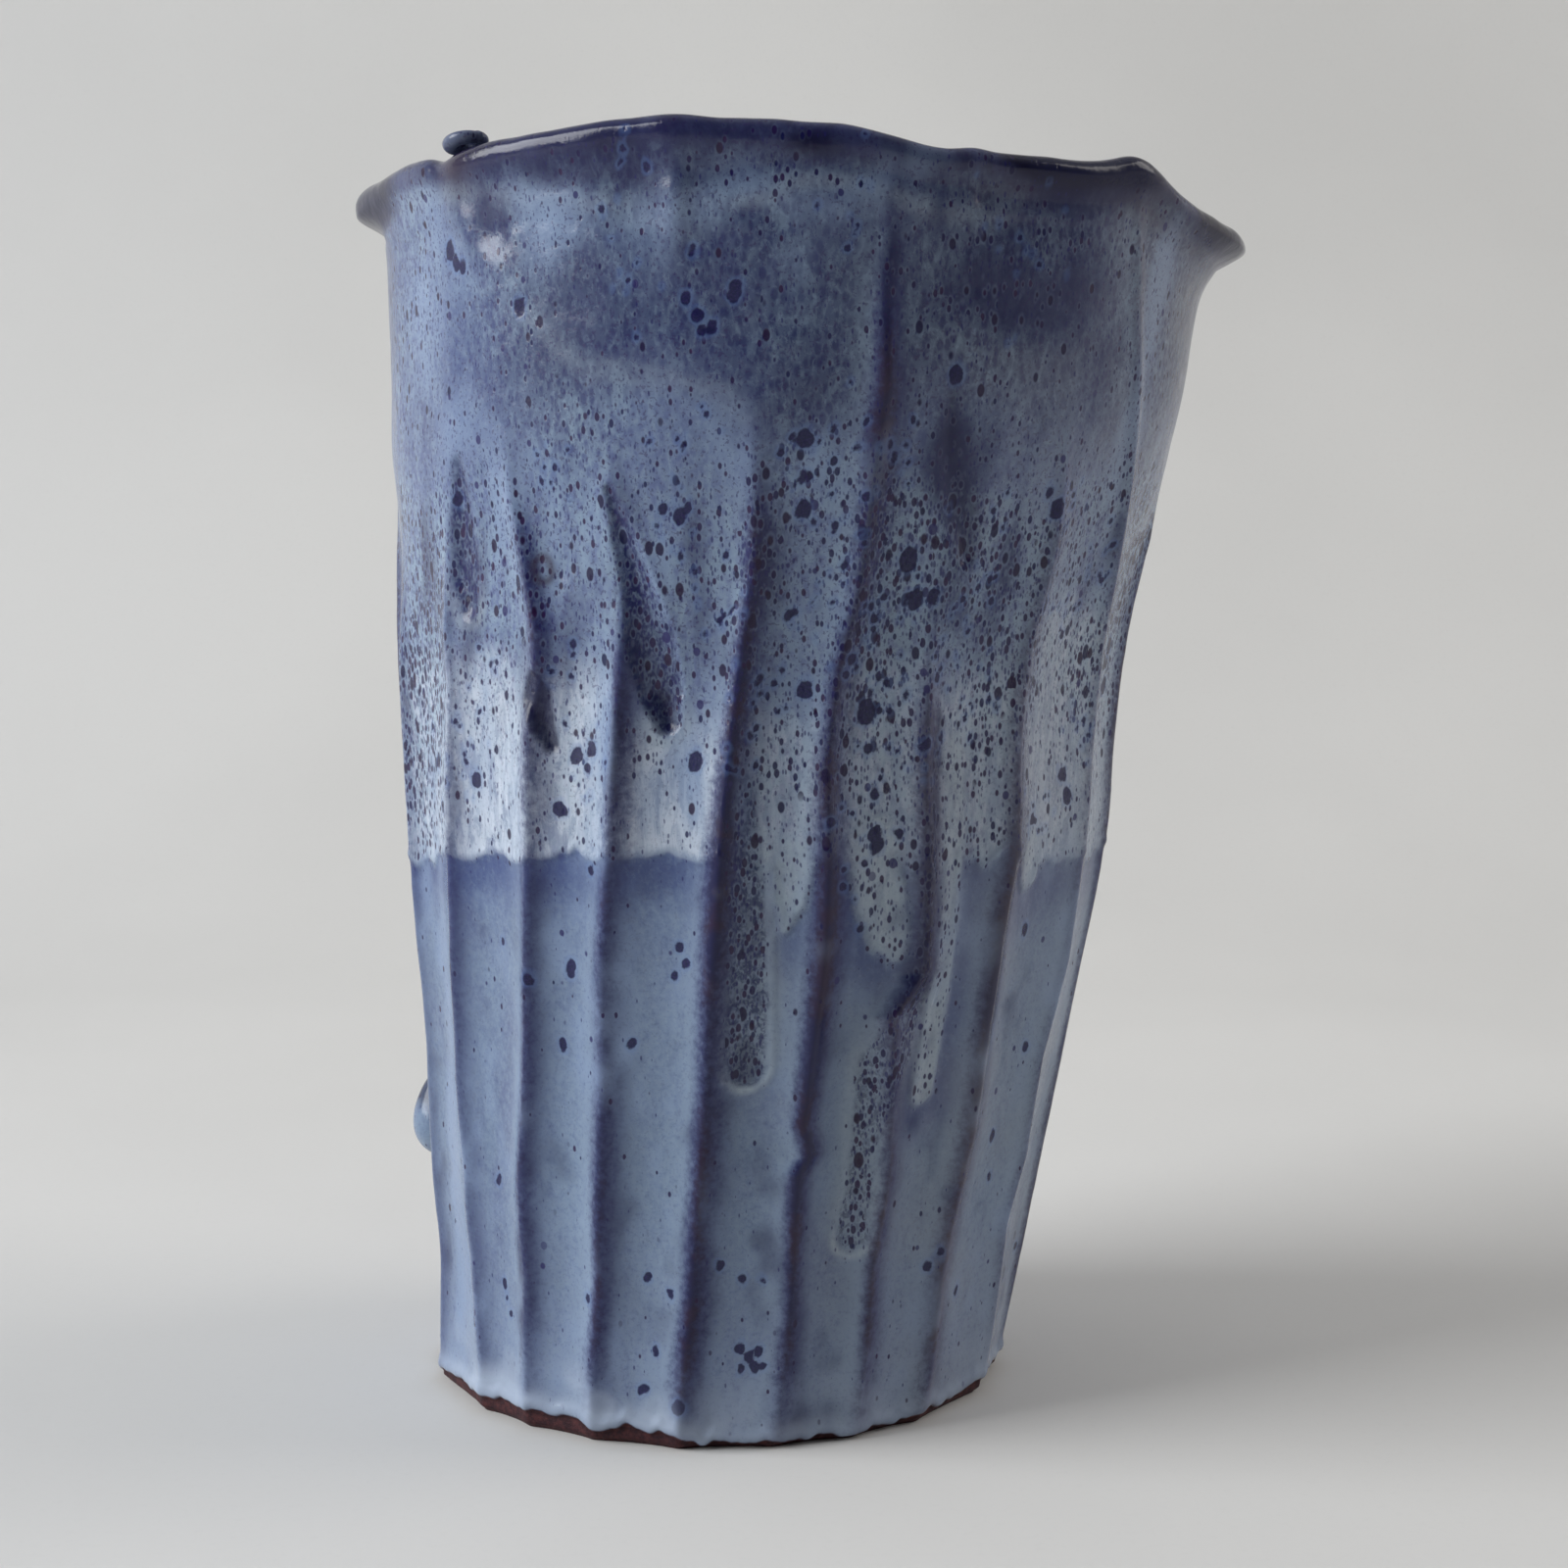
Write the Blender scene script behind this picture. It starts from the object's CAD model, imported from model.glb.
# Looks for the stoneware vase. Metres, row frame: +Z up, foot centre at the origin.
import bpy
import math
import numpy as np
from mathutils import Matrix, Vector


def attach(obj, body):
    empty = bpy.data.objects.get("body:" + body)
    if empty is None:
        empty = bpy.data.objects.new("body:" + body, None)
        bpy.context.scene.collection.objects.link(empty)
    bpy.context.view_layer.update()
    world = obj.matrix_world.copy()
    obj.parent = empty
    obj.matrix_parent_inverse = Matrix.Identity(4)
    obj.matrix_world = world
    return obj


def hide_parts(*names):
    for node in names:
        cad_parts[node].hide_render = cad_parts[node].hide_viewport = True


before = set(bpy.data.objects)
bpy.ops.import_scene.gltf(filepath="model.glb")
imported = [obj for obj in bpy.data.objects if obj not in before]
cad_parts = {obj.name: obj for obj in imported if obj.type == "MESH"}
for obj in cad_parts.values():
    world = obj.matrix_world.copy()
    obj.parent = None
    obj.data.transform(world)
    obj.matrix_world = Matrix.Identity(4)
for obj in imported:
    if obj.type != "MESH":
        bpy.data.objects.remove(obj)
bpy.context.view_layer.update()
MM = 0.001
scene = bpy.context.scene
scene.view_settings.view_transform = "Standard"
scene.view_settings.look = "None"

# ---------------------------------------------------------------- basic form
# glaze surface: height, radius over the ridges, sideways lean of the section centre
HZ = [-5, 0, 23, 33, 57, 67, 77, 87, 97, 107, 117, 127, 137, 146, 156, 165.6, 175, 185, 195, 210]
HR = [47.6, 48.1, 50.3, 51.8, 54.35, 55.6, 56.9, 58.0, 58.9, 59.15, 59.7, 60.5, 61.6, 62.9, 64.6,
      65.7, 66.5, 67.8, 69.2, 70.6]
HL = [0, 0, 2.2, 2.6, 4.7, 5.3, 5.9, 6.3, 6.6, 6.7, 7.0, 7.6, 9.0, 10.1, 11.0, 12.2, 12.7, 13.5,
      14.1, 14.4]
_zz = np.arange(-20, 230, 0.5)
_k = np.exp(-0.5 * (np.arange(-14, 15) * 0.5 / 2.6) ** 2)
_k /= _k.sum()
_rr = np.convolve(np.pad(np.interp(_zz, HZ, HR), 14, mode="edge"), _k, "valid")
_ll = np.convolve(np.pad(np.interp(_zz, HZ, HL), 14, mode="edge"), _k, "valid")


def radius_z(z):
    return np.interp(z, _zz, _rr)


def lean_z(z):
    return np.interp(z, _zz, _ll)


def sstep(a, b, x):
    q = np.clip((x - a) / (b - a), 0, 1)
    return q * q * (3 - 2 * q)


def bump1(x, c, w):
    return np.exp(-((x - c) / w) ** 2)


def wrap(d):
    return (d + 180.0) % 360.0 - 180.0


def lattice(phi, z, cell, seed, stretch=1.0):
    """Smooth value noise in [-1, 1] on the wall, periodic round it; cell in mm."""
    rng = np.random.default_rng(seed)
    n = max(3, int(round(364.0 / cell)))
    mz = int(260 / (cell * stretch)) + 4
    g = rng.uniform(-1, 1, (mz, n))
    u = ((phi + 180.0) % 360.0) / 360.0 * n
    v = (z + 20.0) / (cell * stretch)
    i = np.floor(u).astype(int)
    j = np.clip(np.floor(v).astype(int), 0, mz - 2)
    fu, fv = u - np.floor(u), np.clip(v - j, 0, 1)
    fu, fv = fu * fu * (3 - 2 * fu), fv * fv * (3 - 2 * fv)
    i0, i1 = i % n, (i + 1) % n
    return ((g[j, i0] * (1 - fu) + g[j, i1] * fu) * (1 - fv)
            + (g[j + 1, i0] * (1 - fu) + g[j + 1, i1] * fu) * fv)


# ------------------------------------------------------------- flute ridges
# height, bearing pairs for each ridge of the front; the last numbers are the height
# where the ridge starts to fade and where it has gone
RIDGES = [
    ([(0, -74), (60, -75), (127, -74), (190, -73)], 118, 140, 0.8),
    ([(0, -52.5), (6.6, -52.5), (21, -54.7), (39, -55), (55, -57.6), (71, -57.1), (95, -54.2),
      (119, -52.8), (128, -54), (190, -53)], 126, 150, 0.9),
    ([(0, -39), (11, -39.1), (26, -37.9), (42, -38.6), (74, -37.3), (94, -35.2), (110.5, -34.8),
      (121, -33.4), (128, -34), (147, -39.3), (190, -42)], 140, 160, 1.0),
    ([(0, -23.6), (12, -23.5), (28, -22.2), (44, -22.8), (75, -23.2), (95, -20.8), (110, -20.2),
      (121, -19.7), (134, -21), (190, -24)], 119, 134, 1.0),
    ([(0, -6), (13, -5.9), (29, -5.5), (53, -5.8), (73, -5.5), (91, -4.4), (108, -3.2), (123, -2.3),
      (137, -2.0), (151, -3.1), (190, -5)], 138, 166, 1.1),
    ([(0, 12), (13, 11.9), (29, 11.1), (44.8, 10.7), (47.8, 12.4), (50.5, 11.8), (52.6, 10.8),
      (57, 11), (91, 11), (108, 10.9), (121.5, 11.6), (131.6, 12.5), (146, 12.3), (163, 12.7),
      (186, 10.5), (190, 10.3)], 165, 200, 1.1),
    ([(0, 27.6), (11, 27.4), (27.6, 26.1), (43.5, 27.3), (62, 24.6), (69, 23.3), (76, 27.7),
      (95, 26.3), (114, 25.6), (129, 24.7), (152, 24), (190, 23)], 112, 140, 1.0),
    ([(0, 43), (9, 42.9), (24, 41.6), (37, 42.8), (48, 43.7), (65, 42.5), (80, 41.7), (93, 42.6),
      (110, 42.3), (127, 43), (140, 42.8), (152, 41.1), (190, 38)], 140, 162, 1.0),
    ([(0, 65), (9, 65.3), (30, 61.4), (41, 64.6), (58, 61.9), (73, 64.8), (86, 63.1), (102, 63.1),
      (118, 63.8), (134, 61.9), (152, 57.8), (171, 52.8), (191, 47.7)], 180, 204, 1.0),
]
_rng = np.random.default_rng(7)
for _c in np.arange(82.0, 270.0, 17.0):
    _o = _rng.uniform(-1.6, 1.6, 5)
    RIDGES.append(([(0, _c + _o[0]), (45, _c + _o[1]), (90, _c + _o[2]), (140, _c + _o[3] + 1),
                    (190, _c + _o[4] - 2)], 132 + 10 * _rng.uniform(-1, 1),
                   160 + 10 * _rng.uniform(-1, 1), _rng.uniform(0.85, 1.1)))
# how dark each arris breaks, by height
PAINT = [[(0, 0.35), (90, 0.35), (190, 0.2)],
         [(0, 0.48), (88, 0.50), (96, 0.38), (130, 0.5), (150, 0.2), (190, 0.0)],
         [(0, 0.52), (88, 0.60), (96, 0.42), (112, 0.7), (130, 0.7), (150, 0.3), (190, 0.1)],
         [(0, 0.64), (88, 0.75), (96, 0.60), (112, 0.8), (130, 0.6), (146, 0.2), (190, 0.0)],
         [(0, 0.85), (48, 0.95), (60, 0.76), (74, 0.76), (88, 1.0), (145, 1.0), (158, 0.6), (172, 0.0)],
         [(0, 0.85), (60, 1.0), (160, 1.0), (172, 0.7), (190, 0.5)],
         [(0, 0.80), (60, 0.6), (76, 1.0), (114, 1.0), (126, 0.5), (150, 0.15)],
         [(0, 0.90), (60, 0.95), (100, 0.8), (130, 0.6), (160, 0.2)],
         [(0, 0.60), (60, 0.5), (120, 0.5), (170, 0.25), (190, 0.1)]]
DEPTH = ([0, 8, 20, 45, 85, 110, 135, 150, 165, 180, 190],
         [1.15, 1.5, 2.0, 2.5, 2.7, 2.5, 1.9, 1.3, 0.7, 0.4, 0.25])


def flutes(phi, z):
    """Returns depth below the ridges (mm), distance right of the ridge on the left (mm),
    distance left of the ridge on the right (mm), and the two ridges' strengths."""
    nr = len(RIDGES)
    path = np.array([np.interp(z[:, 0], [q[0] for q in r[0]], [q[1] for q in r[0]])
                     + 0.35 * np.sin(z[:, 0] / (9.0 + k % 5) + k) for k, r in enumerate(RIDGES)])
    force = np.array([r[3] * (1 - sstep(r[1], r[2], z[:, 0]))
                      * (0.86 + 0.14 * np.sin(z[:, 0] / (13.0 + k % 7) + 2.1 * k))
                      for k, r in enumerate(RIDGES)])
    paint = np.array([np.interp(z[:, 0], [q[0] for q in PAINT[k]], [q[1] for q in PAINT[k]]) if k < len(PAINT)
                      else 0.8 * (1 - sstep(125, 160, z[:, 0])) for k in range(nr)])
    rows, cols = phi.shape
    base = path[0][:, None]
    rel = (phi - base) % 360.0
    offs = (path - path[0]) % 360.0
    offs[0] = 0.0
    offs = np.vstack([offs, np.full(rows, 360.0)])
    force = np.vstack([force, force[0]])
    paint = np.vstack([paint, paint[0]])
    pn = np.zeros(phi.shape)
    left = np.zeros(phi.shape)
    right = np.zeros(phi.shape)
    fl = np.zeros(phi.shape)
    fr = np.zeros(phi.shape)
    for k in range(nr):
        m = (rel >= offs[k][:, None]) & (rel < offs[k + 1][:, None])
        a = np.broadcast_to(offs[k][:, None], phi.shape)[m]
        b = np.broadcast_to(offs[k + 1][:, None], phi.shape)[m]
        left[m] = rel[m] - a
        right[m] = b - rel[m]
        fl[m] = np.broadcast_to(force[k][:, None], phi.shape)[m]
        fr[m] = np.broadcast_to(force[k + 1][:, None], phi.shape)[m]
        pn[m] = np.where(left[m] < right[m], np.broadcast_to(paint[k][:, None], phi.shape)[m],
                         np.broadcast_to(paint[k + 1][:, None], phi.shape)[m])
    arc = radius_z(z) * math.pi / 180.0
    return left * arc, right * arc, fl, fr, pn


def capsule(phi, z, pts):
    """Signed distance in mm to a chain of (bearing, height, half width)."""
    best = np.full(phi.shape, 1e3)
    for (p0, z0, w0), (p1, z1, w1) in zip(pts[:-1], pts[1:]):
        arc = float(radius_z(0.5 * (z0 + z1))) * math.pi / 180.0
        ax, bx = 0.0, wrap(p1 - p0) * arc
        x = wrap(phi - p0) * arc
        y = z - z0
        by = z1 - z0
        q = np.clip((x * bx + y * by) / max(1e-6, bx * bx + by * by), 0, 1)
        d = np.hypot(x - q * bx, y - q * by) - (w0 + (w1 - w0) * q)
        best = np.minimum(best, d)
    return best


def soft(sd, e):
    """1 inside, 0 outside, with an edge e mm wide."""
    return sstep(e * 0.5, -e * 0.5, sd)


# ------------------------------------------------------------ glaze features
# (bearing, height, half width) chains, measured on the wall in degrees and mm
LEAF_LEFT = [(-50.6, 153, 1.2), (-50.2, 144, 2.6), (-49.6, 136, 2.9), (-48.8, 131, 2.0)]
LEAF_MID = [(-23.0, 149, 0.5), (-20.6, 142, 1.7), (-18.0, 135, 2.2), (-15.4, 127, 3.4),
            (-13.6, 119, 3.2), (-12.8, 114.5, 2.0)]
HOLLOW = [(21.5, 163, 1.0), (23.0, 154, 2.4), (25.6, 146, 2.8), (28.2, 139, 1.6)]
RUN_MID = [(-1.4, 106, 1.3), (-0.9, 97, 2.0), (-0.6, 90, 2.7), (-0.1, 76, 3.0), (0.6, 62.5, 3.2)]
STREAK = [(27.4, 116.0, 0.4), (27.5, 104.9, 1.0), (27.1, 93.0, 1.3), (27.7, 80.8, 1.4), (27.3, 73.2, 2.0),
          (24.9, 66.0, 3.3), (22.9, 60.2, 3.7), (22.3, 53.4, 2.6), (22.3, 45.6, 1.8), (22.6, 38.4, 2.4),
          (22.4, 34.1, 2.4)]
PALE_RUN = [(31.4, 110.7, 1.8), (31.6, 97.2, 2.1), (32.0, 83.5, 2.2), (32.0, 72.7, 2.2), (32.0, 63.3, 2.3),
            (31.8, 56.8, 2.4)]
LOBE = [(18.2, 96.4, 4.3), (19.9, 87.4, 3.9), (21.7, 82.0, 2.9), (23.0, 79.3, 1.7)]
LOBE_R = [(47.9, 92.6, 4.3), (47.9, 90.1, 3.2), (47.5, 88.0, 1.4)]
LOBE_S = [(5.9, 93.8, 3.6), (5.9, 87.8, 2.5), (5.3, 83.5, 1.0)]
BLOB = [(-33.8, 120.2, 1.7), (-33.6, 117.6, 2.6), (-32.6, 114, 1.8), (-31.4, 110.5, 1.2)]
PITS = [(-30.2, 136.8, 1.8), (-44.8, 151.5, 1.3), (31.3, 139.5, 1.1)]
# drips on the side that is not seen in the main view: bearing, top, end, half width, dark?
BACK_RUNS = [(88, 92, 60, 2.6, 0), (107, 92, 44, 3.0, 1), (124, 92, 74, 3.4, 0), (141, 92, 58, 2.4, 0),
             (158, 92, 66, 2.8, 1), (177, 92, 80, 3.6, 0), (193, 92, 49, 2.6, 1), (212, 92, 76, 3.0, 0),
             (226, 92, 54, 3.0, 1), (244, 92, 80, 3.2, 0), (262, 92, 70, 2.4, 0)]
# loose clusters of iron spots: bearing, height, spread, how many, size in mm
CLUSTERS = [(-50.6, 106.6, 3.2, 16, 0.55), (-45.1, 120.6, 3.0, 6, 0.50), (-31.3, 121.1, 2.6, 6, 0.50),
            (-24.6, 109.5, 2.8, 10, 0.55), (-31.4, 151.7, 2.0, 8, 0.50), (-13.2, 145.8, 3.0, 12, 0.50),
            (-5.8, 131.6, 3.0, 12, 0.60), (4.0, 157.0, 3.5, 14, 0.60), (9.0, 145.8, 3.5, 12, 0.60),
            (8.4, 131.6, 3.5, 14, 0.55), (2.7, 120.1, 3.0, 10, 0.55), (-1.2, 111.4, 2.5, 8, 0.50),
            (17.3, 128.7, 3.5, 14, 0.60), (19.2, 117.0, 3.0, 12, 0.60), (14.8, 96.6, 3.0, 8, 0.70),
            (23.6, 108.0, 2.4, 10, 0.60), (28.7, 128.5, 3.0, 12, 0.50), (34.4, 119.5, 3.0, 12, 0.50),
            (31.7, 140.1, 3.0, 10, 0.50), (43.9, 146.0, 2.6, 12, 0.50), (50.7, 131.0, 2.6, 10, 0.50),
            (59.4, 112.1, 2.6, 12, 0.50), (49.1, 97.4, 2.4, 10, 0.50), (58.1, 140.0, 2.4, 10, 0.50),
            (17.0, 155.7, 3.0, 10, 0.50), (-13.6, 155.7, 3.0, 8, 0.45), (-21.1, 176.7, 4.0, 8, 0.40),
            (29.4, 185.4, 5.0, 16, 0.45), (-21.0, 195.0, 3.0, 8, 0.50), (4.9, 189.7, 3.0, 8, 0.45)]
# larger iron spots: bearing, height, radius in mm
SPOTS = [(-51.3, 184.8, 1.35), (-50.0, 183.2, 1.1), (-48.4, 182.4, 0.95), (-37.3, 175.7, 1.15),
         (-24.7, 188.5, 0.6), (-12.8, 182.4, 0.75), (-7.2, 176.9, 1.25), (-13.4, 175.9, 0.75),
         (-11.8, 173.4, 0.95), (-11.2, 171.4, 0.7), (-9.9, 171.9, 0.75), (21.5, 165.2, 1.25),
         (3.1, 156.0, 1.25), (3.8, 145.8, 1.1), (-12.7, 145.1, 1.1), (-15.2, 145.9, 0.8),
         (-51.3, 147.8, 1.0), (21.6, 132.7, 1.2), (24.0, 132.9, 1.0), (19.4, 138.6, 1.5),
         (-48.1, 104.4, 1.15), (-30.2, 100.8, 1.3), (-27.4, 109.1, 1.2), (-24.6, 110.1, 1.0),
         (-8.4, 108.7, 1.3), (7.2, 119.6, 1.15), (16.3, 115.9, 1.7), (17.0, 110.5, 0.8),
         (18.3, 103.8, 0.95), (18.5, 97.5, 1.2), (18.9, 95.8, 1.1), (22.3, 97.7, 0.85),
         (-24.8, 91.9, 0.8), (-29.6, 76.1, 1.1), (-31.3, 63.8, 0.8), (-18.2, 65.1, 0.75),
         (-10.6, 80.6, 0.65), (-9.6, 78.2, 0.65), (-11.4, 75.9, 0.5), (-46.7, 39.9, 0.75),
         (-46.2, 22.8, 0.7), (-45.6, 20.5, 0.65), (-44.0, 18.0, 0.55), (-36.5, 74.2, 0.9),
         (50.9, 80.1, 1.0), (5.4, 15.4, 0.9), (3.6, 16.6, 0.8), (7.0, 16.2, 0.8), (6.4, 13.4, 0.8),
         (4.2, 13.2, 0.7), (8.0, 13.6, 0.55), (-6.5, 7.2, 1.15), (-13.7, 9.4, 0.8), (-25.1, 23.7, 0.7),
         (-14.1, 27.9, 0.65), (-9.7, 25.4, 0.65), (-11.8, 16.0, 0.6), (-1.0, 30.3, 0.65),
         (2.8, 28.1, 0.7), (6.4, 28.0, 0.6), (38.9, 26.9, 0.8), (41.0, 29.0, 0.7), (44.3, 131.5, 0.9),
         (41.6, 146.0, 1.2), (39.8, 148.6, 0.8), (56.0, 104.5, 1.1), (57.5, 101.0, 1.2), (47.6, 98.4, 0.8),
         (10.4, 138.0, 0.7), (13.4, 124.0, 0.8), (-60.5, 106.0, 0.9), (-58.6, 99.0, 0.8),
         (-63.0, 111.5, 0.8), (-44.0, 79.0, 0.6), (52.8, 46.0, 0.9), (54.5, 39.0, 0.7), (49.0, 21.0, 0.7),
         (-28.0, 126.0, 0.7), (17.2, 83.0, 0.6), (-54.9, 14.5, 0.7), (57.8, 60.0, 0.7)]
_rng = np.random.default_rng(41)
for _cp, _cz, _sp, _n, _rr0 in CLUSTERS:
    for _i in range(_n):
        SPOTS.append((_cp + _rng.normal(0, _sp) / 1.1, _cz + _rng.normal(0, _sp) * 1.25,
                      _rr0 * 0.80 * _rng.uniform(0.5, 1.35)))
_rng = np.random.default_rng(23)
for _i in range(120):
    _p, _z = _rng.uniform(72, 285), _rng.uniform(12, 190) ** 1.0
    SPOTS.append((_p, _z, _rng.uniform(0.5, 1.35) * (1.15 if _z > 95 else 0.8)))

EDGE = [(-180, 91), (-150, 90), (-120, 92), (-95, 89), (-78, 88.2), (-72.7, 88.6), (-60, 90.6),
        (-54.9, 91.2), (-44.0, 92.6), (-39, 91.6), (-35.4, 92.4), (-28.2, 94.2), (-23, 93.0),
        (-20.8, 93.8), (-12.4, 94.6), (-6, 93.6), (-4.4, 93.6), (2.7, 92.6), (10.9, 93.6),
        (19.6, 92.6), (26.5, 92.0), (34.8, 91.6), (43.0, 92.4), (50.1, 90.6), (62.5, 89.6),
        (76.4, 88.6), (95, 91), (120, 89), (150, 92), (180, 91)]
FOOT_EDGE = [(-180, 2.4), (-150, 3.0), (-120, 1.8), (-95, 2.6), (-80, 1.9), (-66, 2.9), (-58.5, 4.2),
             (-54, 3.2), (-49, 3.9), (-42, 4.9), (-35.2, 5.0), (-29.4, 4.2), (-24, 3.4), (-18.7, 3.9),
             (-15.5, 4.8), (-12.2, 3.2), (-8.5, 4.0), (-5.7, 2.1), (-2, 1.6), (1.6, 1.5), (10, 1.8),
             (21.3, 1.2), (28, 1.8), (33.8, 1.7), (41, 2.4), (49.2, 2.6), (58, 3.4), (66.7, 3.6),
             (75, 2.6), (90, 3.2), (120, 2.2), (150, 3.1), (180, 2.4)]
# pale, thick second coat in each flute: bearing span, top, whiteness, speckle
PANELS = [(-180, -74, 118, 0.66, 0.75), (-74, -54.5, 121, 0.80, 0.80), (-54.5, -35.5, 121.5, 0.95, 0.38),
          (-35.5, -20.5, 120.5, 0.92, 0.42), (-20.5, -4, 112, 0.90, 0.30), (-4, 11, 116, 0.52, 0.62),
          (11, 26, 121, 0.62, 0.66), (26, 42.5, 119, 0.62, 0.50), (42.5, 63, 130, 0.66, 0.58),
          (63, 180, 122, 0.66, 0.60)]
ARCH = [(-35.7, 174.3, 0.4), (-32.5, 170.9, 0.4), (-28.3, 167.2, 0.4), (-25.7, 166.0, 0.4), (-22.6, 166.5, 0.4),
        (-18.9, 164.7, 0.4), (-14.0, 164.3, 0.4), (-8.4, 162.3, 0.4), (-4.0, 159.1, 0.4)]
LIP_LINE = [(-180, 191), (-150, 189), (-125, 192), (-100, 193), (-84, 195), (-62, 197), (-50, 196.5),
            (-44, 194.5), (-33, 193.0), (-26, 191.5), (-18, 190.3), (-12, 190.3), (-7, 191.6), (-3, 193.6),
            (4, 194.6), (9, 193.4), (15, 190.0), (22, 188.5), (28, 189.0), (36, 190.0), (45, 189.5),
            (52, 188.0), (64, 185.5), (82, 185.5), (100, 190), (125, 192), (150, 189), (180, 191)]
RIM_TOP = [(-180, 199.0), (-150, 198.2), (-125, 199.8), (-110, 199.2), (-98, 198.9), (-88, 198.7),
           (-76, 198.6), (-65, 199.0), (-55.5, 199.5), (-52.8, 198.3), (-50, 199.0), (-46, 199.7),
           (-41, 200.2), (-33, 200.5), (-25, 201.2), (-16, 201.5), (-10, 201.1), (-3.4, 200.7),
           (4.4, 200.1), (7.8, 199.0), (14.8, 197.4), (18, 197.2), (21.6, 197.4), (24, 196.9),
           (27.5, 196.6), (36.2, 196.5), (41, 197.1), (44.5, 198.2), (48, 197.6), (51.4, 196.0),
           (55.3, 194.0), (60, 192.5), (68, 191.4), (78, 190.6), (88, 191.6), (99, 194.8), (112, 198.0),
           (130, 199.8), (150, 199.2), (165, 198.4), (180, 199.0)]


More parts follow.
